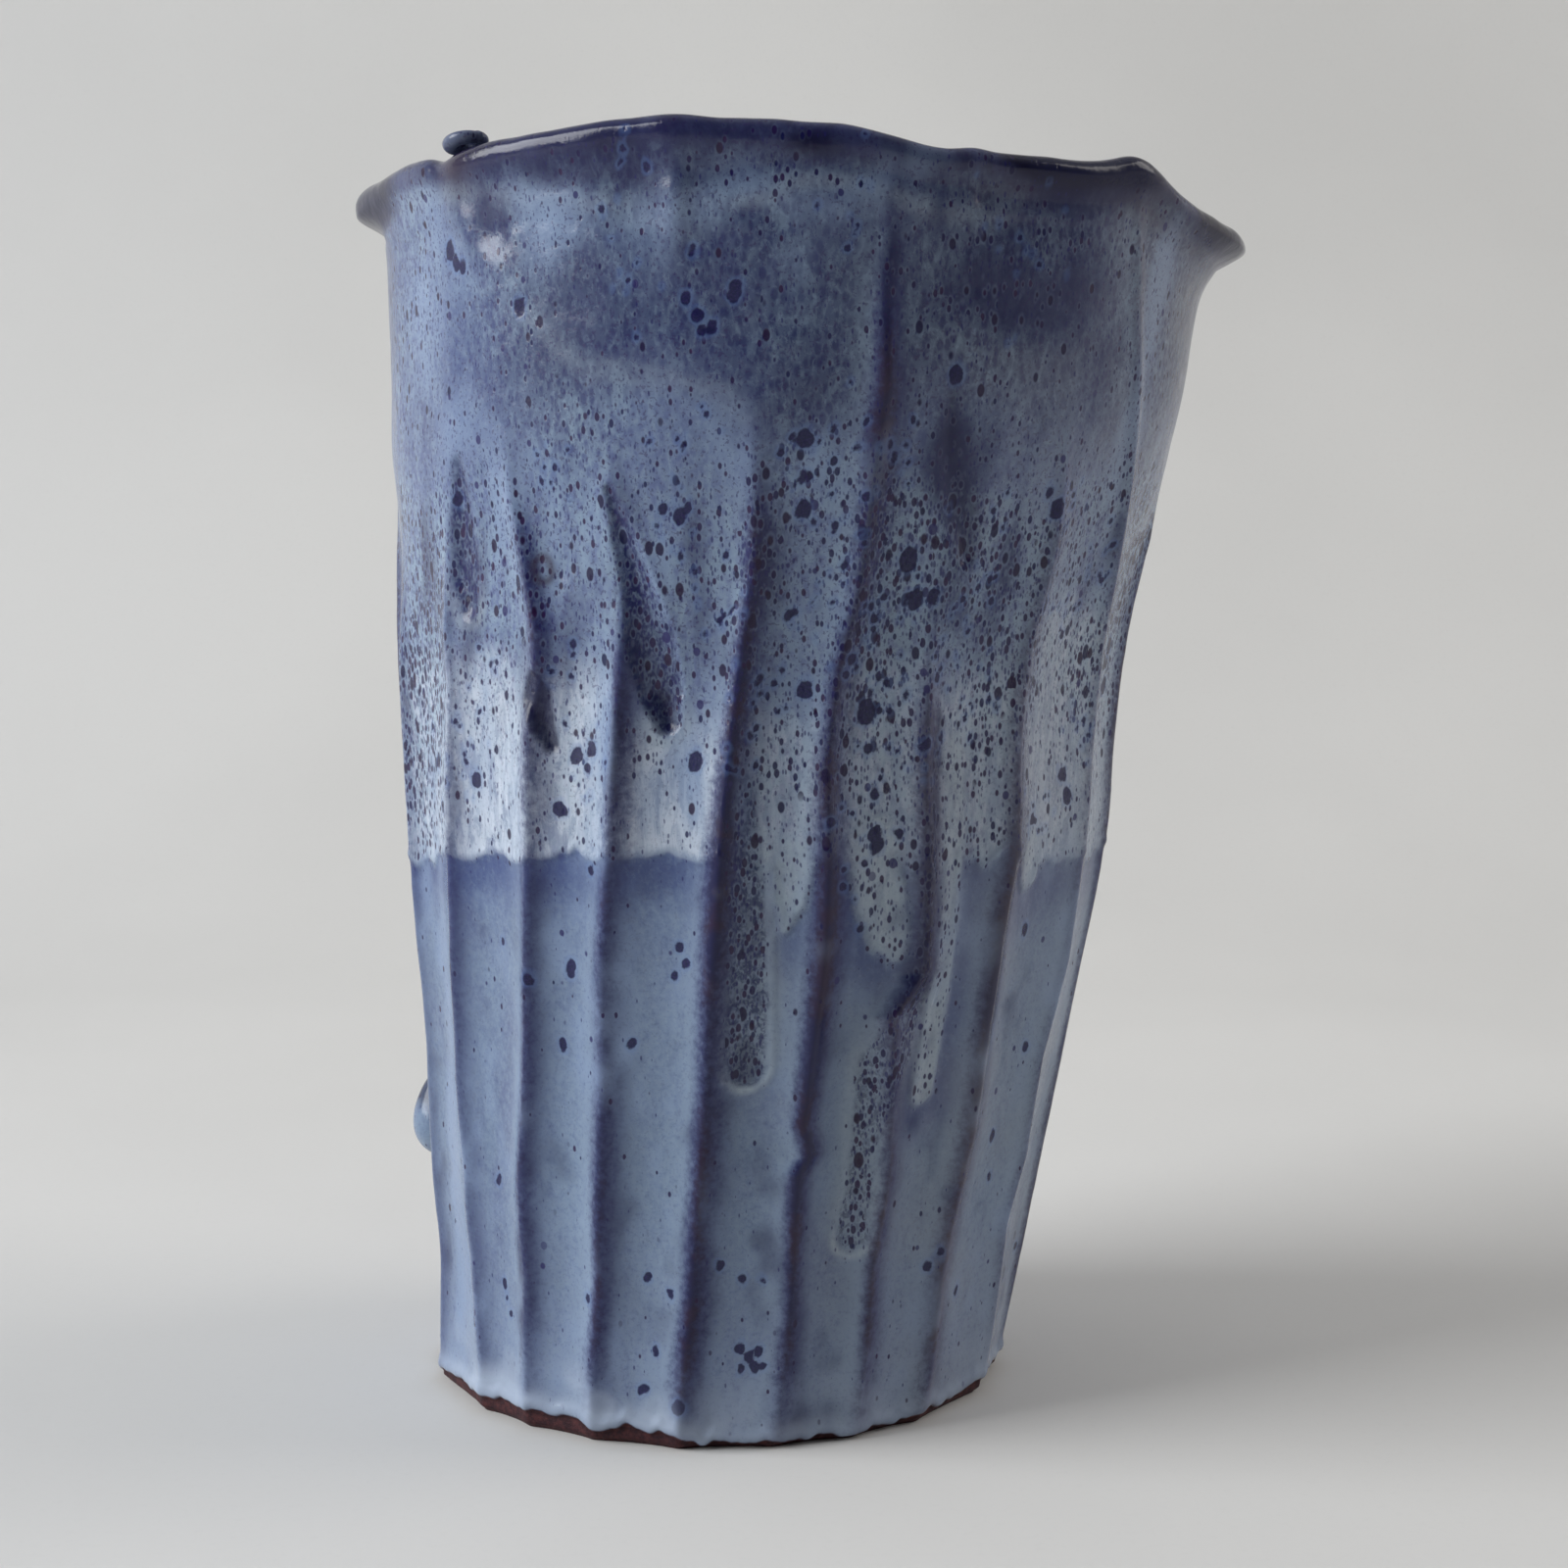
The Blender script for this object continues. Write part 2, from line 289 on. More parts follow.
# cloudy patches of thicker (pale) and thinner (dark) glaze: bearing, height, widths in mm, strength
TONES = [(-43.0, 190.5, 3.0, 5.0, -0.9), (-64.0, 45.0, 4.0, 42.0, 1.15), (68.0, 60.0, 4.0, 45.0, 0.60), (47.0, 106.0, 4.0, 11.0, 0.30), (36.5, 136.0, 3.6, 9.0, -0.22), (-31.5, 186.6, 5.8, 7.0, 0.55), (-59.9, 174.8, 7.5, 14.4, 0.75), 
         (-49.2, 159.4, 10.0, 6.1, 0.55), (-53.1, 191.0, 6.3, 6.8, 0.45), 
         (-39.9, 187.8, 1.3, 4.5, -0.75), (-38.8, 183.0, 1.5, 2.7, -0.40), 
         (-14.9, 186.7, 8.2, 6.1, 0.25), (-14.5, 149.5, 8.0, 7.0, -0.50), (-24.0, 88.5, 20.0, 3.0, -0.30), (-5.5, 192.4, 4.4, 3.3, 0.45), 
         (-8.5, 177.7, 8.1, 6.8, -0.16), (-16.5, 178.0, 7.0, 7.0, 0.20), (-19.7, 168.0, 11.0, 4.5, 0.22), 
         (-18.6, 160.6, 11.5, 4.2, 0.40), (-32.4, 163.1, 5.1, 4.5, 0.35), 
         (-28.0, 177.0, 6.6, 6.1, -0.15), (0.4, 189.1, 7.2, 3.3, 0.50), (11.0, 194.5, 5.0, 3.9, 0.40), 
         (16.9, 189.4, 1.8, 4.5, -0.55), (11.5, 176.4, 1.3, 16.7, -0.75), 
         (29.5, 176.4, 14.3, 7.5, -0.70), (39.5, 182.6, 7.5, 5.5, -0.15), 
         (55.8, 178.9, 4.1, 25.8, 0.95), (74.4, 190.7, 10.6, 6.2, -1.50), 
         (2.0, 163.2, 5.8, 3.3, -0.45), (34.5, 196.6, 12.5, 3.0, -1.70), 
         (20.8, 183.5, 6.2, 4.5, 0.12), (6.2, 173.6, 3.6, 9.1, -0.25), (18.5, 162.7, 6.1, 6.1, -0.15), 
         (46.4, 160.7, 5.3, 9.1, -0.10), (30.3, 188.8, 11.8, 3.9, -0.25), 
         (-10.2, 197.8, 8.8, 2.4, -0.30), (-41.0, 198.8, 9.6, 2.1, -0.55), 
         (-26.1, 197.4, 9.7, 3.0, -0.35), (22.3, 197.8, 2.5, 2.1, 0.60), 
         (4.0, 196.4, 7.3, 2.7, -0.35), (-18.4, 202.0, 2.1, 2.1, 0.60), 
         (-77.0, 196.0, 8.0, 4.0, -1.80), (-60.2, 199.2, 7.6, 2.1, -0.50), 
         (-25.9, 154.4, 4.2, 12.1, 0.30), (-9.6, 154.3, 5.9, 9.1, 0.08), 
         (-39.4, 146.0, 5.6, 6.1, 0.35), (-11.4, 140.2, 3.5, 9.1, -0.45), 
         (-26.4, 128.5, 5.8, 5.2, -0.16), (-42.8, 128.2, 5.9, 6.1, -0.25), 
         (7.1, 140.2, 5.0, 9.1, 0.15), (22.6, 152.0, 3.6, 9.5, -0.60),
         (-44.4, 118.9, 4.5, 7.0, 0.55), (-43.4, 137.9, 1.6, 9.1, 0.45),
         (-30.5, 128.4, 4.7, 5.2, -0.16), (-13.9, 136.6, 1.8, 9.1, 0.40),
         (-10.6, 140.2, 2.7, 9.1, -0.35), (-1.2, 136.8, 2.2, 11.4, -0.65),
         (3.9, 151.4, 3.8, 7.0, 0.40), (2.8, 133.0, 3.2, 4.5, -0.35), (4.2, 117.2, 2.9, 9.1, 0.30),
         (13.8, 120.0, 1.8, 13.6, -0.40), (21.1, 131.5, 3.1, 3.0, 0.35),
         (-21.4, 113.3, 3.7, 7.6, 0.45), (-9.5, 106.9, 4.4, 8.3, 0.50),
         (-26.3, 105.0, 4.2, 7.6, 0.35), (-43.4, 101.0, 4.8, 6.1, 0.40), (14.7, 99.5, 3.6, 9.1, 0.35),
         (31.7, 140.1, 3.1, 9.1, 0.35), (51.8, 118.8, 5.2, 18.2, 0.35),
         (37.7, 104.4, 2.9, 12.1, 0.30), (61.9, 133.8, 4.9, 24.2, 0.30),
         (51.6, 159.4, 5.1, 9.1, 0.25), (44.1, 151.9, 3.6, 9.1, -0.35),
         (35.6, 158.9, 4.6, 6.1, -0.35), (17.5, 172.4, 4.6, 6.1, -0.25),
         (36.2, 173.2, 9.0, 4.5, -0.30), (-18.6, 125.7, 3.1, 4.5, -0.35),
         (-4.2, 120.1, 2.0, 9.1, -0.30), (-34.7, 140.1, 2.1, 9.1, -0.30),
         (-24.2, 140.1, 2.2, 6.1, 0.20),]
# how firmly the band under the lip shows, and how ragged the second coat ends, by bearing
LIP_FORCE = [(-180, 0.6), (-100, 0.6), (-60, 0.30), (-48, 0.75), (-20, 0.78), (-8, 0.45), (2, 0.55), (14, 0.45),
             (22, 0.40), (28, 0.9), (48, 0.95), (56, 0.3), (66, 0.7), (100, 0.7), (180, 0.6)]
RAGGED = [(-180, 1.4), (-75, 0.8), (-24, 0.7), (-18, 1.0), (-6, 1.5), (-3, 4.0), (11, 3.0), (14, 1.6), (26, 2.4),
          (42, 2.6), (52, 1.6), (70, 1.2), (180, 1.4)]


def table(pts, x):
    return np.interp(x, [q[0] for q in pts], [q[1] for q in pts])


def smooth_table(pts, width):
    xs = np.arange(-180, 180, 0.25)
    ys = table(pts, xs)
    k = np.exp(-0.5 * (np.arange(-40, 41) * 0.25 / width) ** 2)
    k /= k.sum()
    ys = np.convolve(np.concatenate([ys[-40:], ys, ys[:40]]), k, "valid")
    return lambda q: np.interp(wrap(q), np.append(xs, 180.0), np.append(ys, ys[0]))


rim_top = smooth_table(RIM_TOP, 1.1)


def ear_left(phi):
    return bump1(wrap(phi + 86), 0, 9.5)


def ear_right(phi):
    return bump1(wrap(phi - 80), 0, 15)


SPLIT_TOP = 184.0        # where the rim strip takes over
FOOT_LOW = 0.0


def fields(phi, z):
    """Everything the wall knows at (bearing, height): radius in mm and paint masks."""
    L, Rt, fl, fr, pn = flutes(phi, z)
    depth = np.interp(z, *DEPTH)
    s = np.minimum(L, Rt)
    f = np.where(L < Rt, fl, fr)
    width = L + Rt
    q = L / np.maximum(width, 1e-3)
    par = 4 * q * (1 - q)
    mean_f = fl * (1 - q) + fr * q
    # the arris is rounded by the glaze over about half a millimetre
    par = np.where(s < 1.0, par + 0.10 * (1 - s) ** 2, par)
    vis = np.maximum(mean_f, 0)
    d = depth * (0.12 + 0.88 * np.clip(vis, 0, 1.2))
    r = radius_z(z) + 0.25 * d - d * par
    # a ridge that has nearly faded still leaves a low crease
    r = r + 0.55 * np.clip(f, 0, 1.2) * np.exp(-(s / 1.5) ** 2) * np.interp(z, [0, 60, 100, 150, 200], [0.3, 0.5, 1.1, 1.2, 1])
    # hand-made unevenness
    r = r + 0.55 * lattice(phi, z, 42, 1, 1.3) + 0.30 * lattice(phi, z, 17, 2, 1.4) \
        + 0.10 * lattice(phi, z, 7, 3, 1.5) + 0.035 * lattice(phi, z, 2.6, 4)
    # ears and the folds of the rim reach down into the wall
    r = r + 4.2 * ear_right(phi) * sstep(178, 191, z) ** 1.5 + 1.3 * ear_left(phi) * sstep(191, 199, z)
    r = r + 0.9 * bump1(phi, -15.0, 1.8) * sstep(178, 192, z) - 0.7 * bump1(phi, -20.5, 3.2) * sstep(180, 193, z)
    r = r - 0.9 * bump1(phi, 31, 11) * bump1(z, 191, 6.0)
    r = r - 0.5 * bump1(phi, -30, 12) * bump1(z, 194, 4.5)
    crease = capsule(phi, z, [(-53.5, 199, 0.6), (-50.5, 193, 0.5), (-47.0, 187.5, 0.3)])
    r = r + 0.50 * np.exp(-(np.maximum(crease, 0) / 3.0) ** 2)
    dell = capsule(phi, z, [(-47.0, 198, 1.5), (-43.5, 192, 2.0), (-41.5, 188, 1.0)])
    r = r - 0.50 * np.exp(-(np.maximum(dell, 0) / 3.2) ** 2)
    pinch = capsule(phi, z, [(21.8, 199, 0.2), (22.6, 190, 0.1)])
    r = r - 0.55 * np.exp(-(np.maximum(pinch, 0) / 1.3) ** 2)

    edge = smooth_table(EDGE, 0.8)(phi) + 0.45 * lattice(phi, z, 5.0, 11) + 0.15 * lattice(phi, z, 1.6, 12)
    edge = edge + 1.0 * np.clip(f, 0, 1) * np.exp(-(s / 1.6) ** 2)
    ragged = smooth_table(RAGGED, 1.5)(phi)
    edge = edge - ragged * (0.55 * lattice(phi, z, 1.5, 13, 8.0) + 0.75 * lattice(phi, z, 3.4, 14, 6.0))
    band = z - edge
    leaf1 = capsule(phi, z, LEAF_LEFT)
    leaf2 = capsule(phi, z, LEAF_MID)
    hollow = capsule(phi, z, HOLLOW)
    run = capsule(phi, z, RUN_MID)
    streak = capsule(phi, z, STREAK)
    pale_run = capsule(phi, z, PALE_RUN)
    lobe = np.minimum(np.minimum(capsule(phi, z, LOBE), capsule(phi, z, LOBE_R)), capsule(phi, z, LOBE_S))
    blob = capsule(phi, z, BLOB)
    back_pale = np.full(phi.shape, 50.0)
    back_dark = np.full(phi.shape, 50.0)
    for p, zt, ze, w, dark in BACK_RUNS:
        c = capsule(phi, z, [(p, zt + 8, w * 0.8), (p + 0.8, 0.5 * (zt + ze), w * 0.85), (p + 0.3, ze + w, w)])
        if dark:
            back_dark = np.minimum(back_dark, c)
        else:
            back_pale = np.minimum(back_pale, c)
    band = np.maximum(band, -(np.minimum(pale_run, lobe) + 0.5 * lattice(phi, z, 3.2, 24)))
    wob = 0.45 * lattice(phi, z, 3.2, 21) + 0.2 * lattice(phi, z, 1.3, 22)

    # thickness of what ran: beads stand proud, dark windows sit a little low
    r = r + 0.16 * sstep(-0.6, 1.2, band) * sstep(190, 130, z)
    r = r + 0.20 * bump1(band, 0.6, 0.9)
    below = sstep(2.0, -1.0, band)
    pale_sd = np.minimum(np.minimum(pale_run, lobe), back_pale)
    r = r + 0.42 * soft(pale_sd + wob, 2.0) * np.maximum(below, 0.35)
    halo_run = np.abs(run - 0.9)
    halo_st = np.abs(streak - 0.9)
    halo_bk = np.abs(back_dark - 0.9)
    r = r + 0.30 * np.exp(-(halo_run / 0.9) ** 2) * sstep(98, 86, z) + 0.12 * soft(run, 1.5) * below
    r = r + 0.26 * np.exp(-(halo_st / 0.9) ** 2) * sstep(60, 40, z) + 0.10 * soft(streak, 1.5) * below
    r = r + 0.28 * np.exp(-(halo_bk / 0.9) ** 2) * sstep(98, 86, z)
    r = r - 0.75 * sstep(0.6, -2.2, leaf1) - 0.95 * sstep(0.6, -2.6, leaf2) - 0.85 * sstep(0.8, -2.2, hollow)
    r = r + 0.22 * np.exp(-(np.maximum(leaf2, 0) / 1.6) ** 2) * (leaf2 > 0)
    r = r - 0.8 * sstep(0.6, -2.0, blob)
    for p, zz0, w in PITS:
        c = capsule(phi, z, [(p, zz0, 0.0), (p, zz0 + 0.01, 0.0)])
        r = r - 0.22 * np.exp(-(c / w) ** 2)

    # glaze edge at the foot: a rolled bead, then bare clay
    foot = 0.62 * table(FOOT_EDGE, wrap(phi)) + 0.25 + 0.70 * lattice(phi, z * 0, 4.0, 31) + 0.45 * lattice(phi, z * 0, 1.7, 32)
    foot = np.maximum(foot, 0.55)
    over = z - foot
    r = r + 0.38 * np.exp(-((over - 1.1) / 1.1) ** 2) * (over > -0.4)
    r = r - 0.55 * sstep(0.35, -0.35, over)
    r = r - 0.9 * sstep(1.0, 0.0, z)

    # ------------------------------------------------------------- masks
    m = {}
    wid = 1.0 + 0.35 * lattice(phi, z, 12, 41, 2.0)
    live = (0.55 + 0.45 * sstep(4, 20, z)) * np.maximum(np.clip(f, 0, 1), 0.55 * sstep(0.1, 0.5, pn))
    skew = np.where(L < Rt, s * 0.85, s * 1.25)
    m["ridge"] = np.clip(1 - skew / (3.6 * wid * (0.8 + 0.35 * pn)), 0, 1) * live * np.clip(pn * 1.1, 0, 1)
    m["lee"] = np.exp(-(L / 4.2) ** 2) * np.clip(fl, 0, 1) * sstep(0.0, 0.8, L)
    m["wind"] = np.exp(-((Rt - 2.2) / 2.6) ** 2) * np.clip(fr, 0, 1)
    m["band"] = np.clip(0.5 + band / 20.0, 0, 1)
    white = np.zeros(phi.shape)
    dens = np.zeros(phi.shape)
    pw = wrap(phi)
    ks = 0.6
    for a, b, top, wv, dn in PANELS:
        w = sstep(a - ks, a + ks, pw) * sstep(b + ks, b - ks, pw)
        if a == -180:
            w = sstep(b + ks, b - ks, pw)
        if b == 180:
            w = sstep(a - ks, a + ks, pw)
        t = top + 2.2 * lattice(phi, z, 9, 51) + 1.2 * lattice(phi, z, 4, 52)
        white += w * wv * sstep(t + 5.5, t - 3.0, z)
        dens += w * dn
    m["white"] = np.clip(white * sstep(-0.5, 1.2 * ragged + 0.6, band) * (1 - 0.75 * np.clip(np.maximum(soft(run, 1.5), soft(streak, 1.5)), 0, 1)), 0, 1)
    arch = 148 + 16 * bump1(pw, -20, 24) + 4 * bump1(pw, 62, 14) - 2 * bump1(pw, -55, 10)
    arch = arch + 4.0 * lattice(phi, z, 24, 53) + 1.5 * lattice(phi, z, 7, 54)
    over_arch = sstep(arch - 4, arch + 5, z)
    dens = 1.35 * dens * sstep(-1.5, 1.0, band) * (1 - 0.70 * over_arch) * (0.55 + 0.45 * sstep(98, 122, z))
    dens = dens * (0.85 + 0.50 * lattice(phi, z, 11, 55, 1.6)) + 0.06
    patch = bump1(pw, -12, 9) * bump1(z, 192, 5) + bump1(pw, 36, 12) * bump1(z, 184.5, 3.6) \
        + 0.6 * bump1(pw, -45, 9) * bump1(z, 178, 8) + 0.7 * bump1(pw, 18, 12) * bump1(z, 172, 10) \
        + 0.8 * bump1(pw, 130, 20) * bump1(z, 185, 6) + 0.7 * bump1(pw, -140, 22) * bump1(z, 178, 8)
    dens = dens + 0.26 * patch
    deep = np.maximum(np.maximum(soft(leaf1 + wob, 1.6), soft(leaf2 + wob, 1.6)), 0.8 * soft(hollow + wob, 6.5))
    runs_dark = np.maximum(soft(run + wob, 1.4), soft(streak + wob, 1.4))
    runs_dark = np.maximum(runs_dark, soft(back_dark + wob, 1.4))
    dens = np.maximum(dens, 0.84 * runs_dark)
    dens = np.maximum(dens, 0.85 * np.maximum(soft(leaf1, 3), soft(leaf2, 3)))
    m["dens"] = np.clip(dens, 0, 1)
    m["deep"] = np.clip(deep, 0, 1)
    m["mottle"] = np.clip(runs_dark, 0, 1)
    ink = np.maximum(soft(blob + 0.6 * wob, 1.2), 0)
    ink = np.maximum(ink, soft(capsule(phi, z, [(-14.0, 118, 1.2), (-12.7, 114.0, 1.4)]) + wob, 2.0) * 0.8)
    ink = np.maximum(ink, soft(capsule(phi, z, [(0.4, 65, 1.6), (0.6, 61.8, 2.2)]) + wob, 2.4) * 0.55)
    ink = np.maximum(ink, 0.62 * soft(streak - 0.2 + wob, 2.6) * sstep(68, 74, z) * sstep(122, 112, z))
    ink = np.maximum(ink, 0.30 * soft(hollow + 0.4 + wob, 5.0))
    m["ink"] = np.clip(ink, 0, 1)
    halo = np.exp(-(halo_run / 0.85) ** 2) * (sstep(66, 60, z) + 0.22 * sstep(96, 84, z)) / 1.22
    halo = np.maximum(halo, 0.8 * np.exp(-(halo_st / 0.75) ** 2) * (sstep(38, 32, z) + 0.2 * sstep(56, 50, z)))
    halo = np.maximum(halo, 0.7 * np.exp(-(halo_bk / 0.8) ** 2) * sstep(96, 70, z))
    halo = np.maximum(halo, 0.7 * np.exp(-((leaf2 - 1.2) / 1.1) ** 2) * sstep(120, 112, z))
    halo = np.maximum(halo, 0.7 * np.exp(-((leaf1 - 1.0) / 1.0) ** 2) * sstep(138, 130, z))
    broad = np.exp(-(np.maximum(run - 0.4, 0) / 2.4) ** 2) * sstep(57, 64, z) * sstep(104, 92, z)
    broad_s = np.exp(-(np.maximum(streak - 0.4, 0) / 2.0) ** 2) * sstep(30, 40, z) * sstep(72, 62, z)
    broad_b = np.exp(-(np.maximum(back_dark - 0.4, 0) / 2.2) ** 2) * sstep(42, 60, z) * sstep(104, 92, z)
    halo = np.maximum(halo, 0.55 * np.maximum(np.maximum(broad, broad_s), broad_b))
    pale = np.maximum(soft(pale_sd + wob, 1.8) * np.maximum(sstep(1.5, -1.0, band), 0.6), halo)
    # the wavy line under the lip, where the second coat starts
    line = smooth_table(LIP_LINE, 2.0)(phi) + 1.2 * lattice(phi, z, 9, 56) + 0.5 * lattice(phi, z, 3.5, 58)
    m["lipband"] = sstep(-1.6, 2.4, z - line) * table(LIP_FORCE, pw)
    broken = sstep(-0.35, 0.45, lattice(phi, z, 14, 59))
    pale = np.maximum(pale, 0.46 * bump1(z - line, -2.4, 1.8) * broken * sstep(40, 10, pw))
    cont = capsule(phi, z, ARCH)
    pale = np.maximum(pale, 0.20 * np.exp(-((cont + 0.6 * lattice(phi, z, 5, 57)) / 1.5) ** 2) * (0.55 + 0.45 * broken))
    m["pale"] = np.clip(pale, 0, 1)
    sp = np.full(phi.shape, 9.0)
    for p, zc, rad in SPOTS:
        arc = float(radius_z(zc)) * math.pi / 180.0
        if z.max() < zc - 3 or z.min() > zc + 3:
            continue
        dx = wrap(phi - p) * arc
        dz = (z - zc) * 0.78
        near = (np.abs(dx) < rad + 3) & (np.abs(dz) < rad + 3)
        if near.any():
            sp[near] = np.minimum(sp[near], np.hypot(dx[near], dz[near]) - rad)
    sp = sp + 0.30 * lattice(phi, z, 1.1, 61) + 0.16 * lattice(phi, z, 0.55, 60)
    m["spot"] = np.clip(0.5 - sp / 5.0, 0, 1)
    m["bare"] = np.clip(0.5 - over / 6.0, 0, 1)
    m["footpale"] = np.clip(bump1(over, 1.4, 1.8) * (over > 0) * (0.45 + 0.55 * bump1(pw, -48, 16) + 0.5 * bump1(pw, -12, 10))
                            + 0.75 * bump1(over, 3.5, 5.0) * (over > 0) * sstep(-0.25, 0.65, lattice(phi, z, 5.5, 33, 0.8))
                            * (0.4 + 0.6 * bump1(pw, -40, 30)), 0, 1)
    brown = 0.8 * bump1(wrap(phi + 48), 0, 3.5) * bump1(z, 196, 5) + 0.35 * sstep(0.3, 1.0, lattice(phi, z, 8, 62)) * sstep(193, 199, z)
    ring = capsule(phi, z, [(-33.6, 137.6, 0.9), (-33.2, 136.4, 0.9)])
    brown = np.maximum(brown, 0.9 * np.exp(-((ring - 0.35) / 0.7) ** 2))
    m["brown"] = np.clip(brown, 0, 1)
    m["lip"] = np.zeros(phi.shape)
    m["high"] = np.clip(z / 210.0, 0, 1)
    tone = 0.40 * lattice(phi, z, 12, 65, 1.2) + 0.22 * lattice(phi, z, 5.5, 66, 1.3)
    tone = tone * (0.55 + 0.45 * sstep(100, 150, z))
    for p, zc, wa, wb, am in TONES:
        dx = wrap(phi - p) * 1.16
        near = (np.abs(dx) < 2.6 * wa) & (np.abs(z - zc) < 2.6 * wb)
        if near.any():
            tone[near] += am * np.exp(-(dx[near] / wa) ** 2 - ((z[near] - zc) / wb) ** 2)
    tone = tone + 0.42 * lattice(phi, z, 6.5, 67, 3.0) * sstep(100, 88, z) + 0.30 * lattice(phi, z, 3.0, 68, 1.4) * sstep(100, 88, z)
    tone = tone + 0.42 * lattice(phi, z, 3.4, 69, 4.0) * sstep(90, 100, z) * sstep(166, 146, z)
    tone = tone - 0.16 * sstep(14, 30, pw) * sstep(70, 50, pw) * sstep(88, 120, z)
    m["tone"] = np.clip(0.5 + 0.5 * tone, 0, 1)
    m["warm"] = np.clip(sstep(2, 40, pw) * sstep(150, 70, np.abs(pw)) * (0.75 + 0.35 * lattice(phi, z, 11, 70)), 0, 1) * sstep(204, 188, z)
    lit = bump1(pw, -62, 23) + 0.65 * bump1(pw, 59, 6) + 0.4 * bump1(wrap(pw - 150), 0, 30)
    m["shade"] = np.clip(sstep(146, 172, z + 5 * lattice(phi, z, 20, 63)) * (1 - 0.85 * np.clip(lit, 0, 1))
                         + 0.25 * lattice(phi, z, 15, 64) * sstep(140, 160, z), 0, 1)
    return r, m


# ------------------------------------------------------------------- meshes
def columns():
    front = np.arange(-98, 98, 0.42)
    back = np.arange(98, 262, 0.78)
    return np.concatenate([front, back])


COLS = columns()
NC = len(COLS)
NAMES = ["ridge", "lee", "wind", "band", "white", "dens", "deep", "mottle", "ink", "pale", "lipband",
         "spot", "bare", "footpale", "brown", "lip", "high", "shade", "tone", "warm"]


def wall_thick(z):
    return np.interp(z, [0, 40, 90, 140, 184, 200], [7.4, 6.9, 5.9, 5.1, 4.5, 4.0])


def inner_radius(phi, z):
    return radius_z(z) - wall_thick(z) + 0.30 * lattice(phi, z, 38, 71) + 0.10 * lattice(phi, z, 12, 72)


def point(phi, z, r):
    a = np.radians(phi)
    return np.stack([(lean_z(z) + r * np.sin(a)) * MM, -r * np.cos(a) * MM, z * MM], -1)


def make_mesh(name, grid, masks, close_v=True, mats=(), face_mat=None):
    """grid: rows x columns x 3, periodic in columns, and closed from last row to first."""
    rows, cols, _ = grid.shape
    idx = np.arange(rows * cols).reshape(rows, cols)
    nxt = np.roll(idx, -1, axis=1)
    if close_v:
        up, upn = np.roll(idx, -1, axis=0), np.roll(nxt, -1, axis=0)
        q = np.stack([idx, nxt, upn, up], -1).reshape(-1, 4)
        row_of = np.repeat(np.arange(rows), cols)
    else:
        q = np.stack([idx[:-1], nxt[:-1], nxt[1:], idx[1:]], -1).reshape(-1, 4)
        row_of = np.repeat(np.arange(rows - 1), cols)
    me = bpy.data.meshes.new(name)
    me.vertices.add(rows * cols)
    me.vertices.foreach_set("co", grid.reshape(-1).astype(np.float32))
    me.loops.add(q.size)
    me.loops.foreach_set("vertex_index", q.reshape(-1).astype(np.int32))
    me.polygons.add(len(q))
    me.polygons.foreach_set("loop_start", (np.arange(len(q)) * 4).astype(np.int32))
    me.update(calc_edges=True)
    for key, arr in masks.items():
        at = me.attributes.new(key, "FLOAT", "POINT")
        at.data.foreach_set("value", arr.reshape(-1).astype(np.float32))
    for mt in mats:
        me.materials.append(mt)
    if face_mat is not None:
        me.polygons.foreach_set("material_index", face_mat(row_of).astype(np.int32))
    me.polygons.foreach_set("use_smooth", np.ones(len(q), bool))
    me.validate()
    ob = bpy.data.objects.new(name, me)
    scene.collection.objects.link(ob)
    return ob


def grid_normals(g, periodic=True):
    du = np.roll(g, -1, 1) - np.roll(g, 1, 1)
    dv = np.gradient(g, axis=0)
    n = np.cross(du, dv)
    return n / np.maximum(np.linalg.norm(n, axis=2, keepdims=True), 1e-12)


def set_normals(ob, nrm):
    me = ob.data
    me.normals_split_custom_set_from_vertices(nrm.reshape(-1, 3).astype(np.float32).tolist())


# wall rows: the outside runs from the foot to where the rim strip starts
ROWS = np.concatenate([np.arange(0.0, 6.0, 0.3), np.arange(6.0, SPLIT_TOP - 0.01, 0.42), [SPLIT_TOP]])
PH, ZZ = np.meshgrid(COLS, ROWS)
PH = wrap(PH)
WALL_R, WALL_M = fields(PH, ZZ)
WALL = point(PH, ZZ, WALL_R)

# rim strip: from the wall's top, over the lip, and down inside
N_OUT, N_ARC, N_IN = 30, 15, 12
pc = wrap(COLS)
top = rim_top(pc) + 0.30 * lattice(pc, pc * 0 + 60, 9, 81) + 0.12 * lattice(pc, pc * 0 + 90, 3.5, 82)
el, er = ear_left(pc), ear_right(pc)
thick = 3.9 + 0.9 * bump1(wrap(pc + 80), 0, 22) + 0.35 * lattice(pc, pc * 0 + 30, 16, 83) + 1.6 * er + 2.0 * el
flare = 70.2 + 0.5 * lattice(pc, pc * 0 + 10, 30, 84) + 3.1 * el + 3.3 * er \
    + 0.8 * bump1(wrap(pc - 46), 0, 4) - 0.9 * bump1(wrap(pc - 20), 0, 9) - 0.6 * bump1(wrap(pc + 52), 0, 3) \
    + 0.9 * bump1(wrap(pc + 15), 0, 4)
r_seat = WALL_R[-1]
half = thick * 0.5
RIMG, RIMM = [], {k: [] for k in NAMES}
z_bend = top - half * 0.95
rows_r, rows_z = [], []
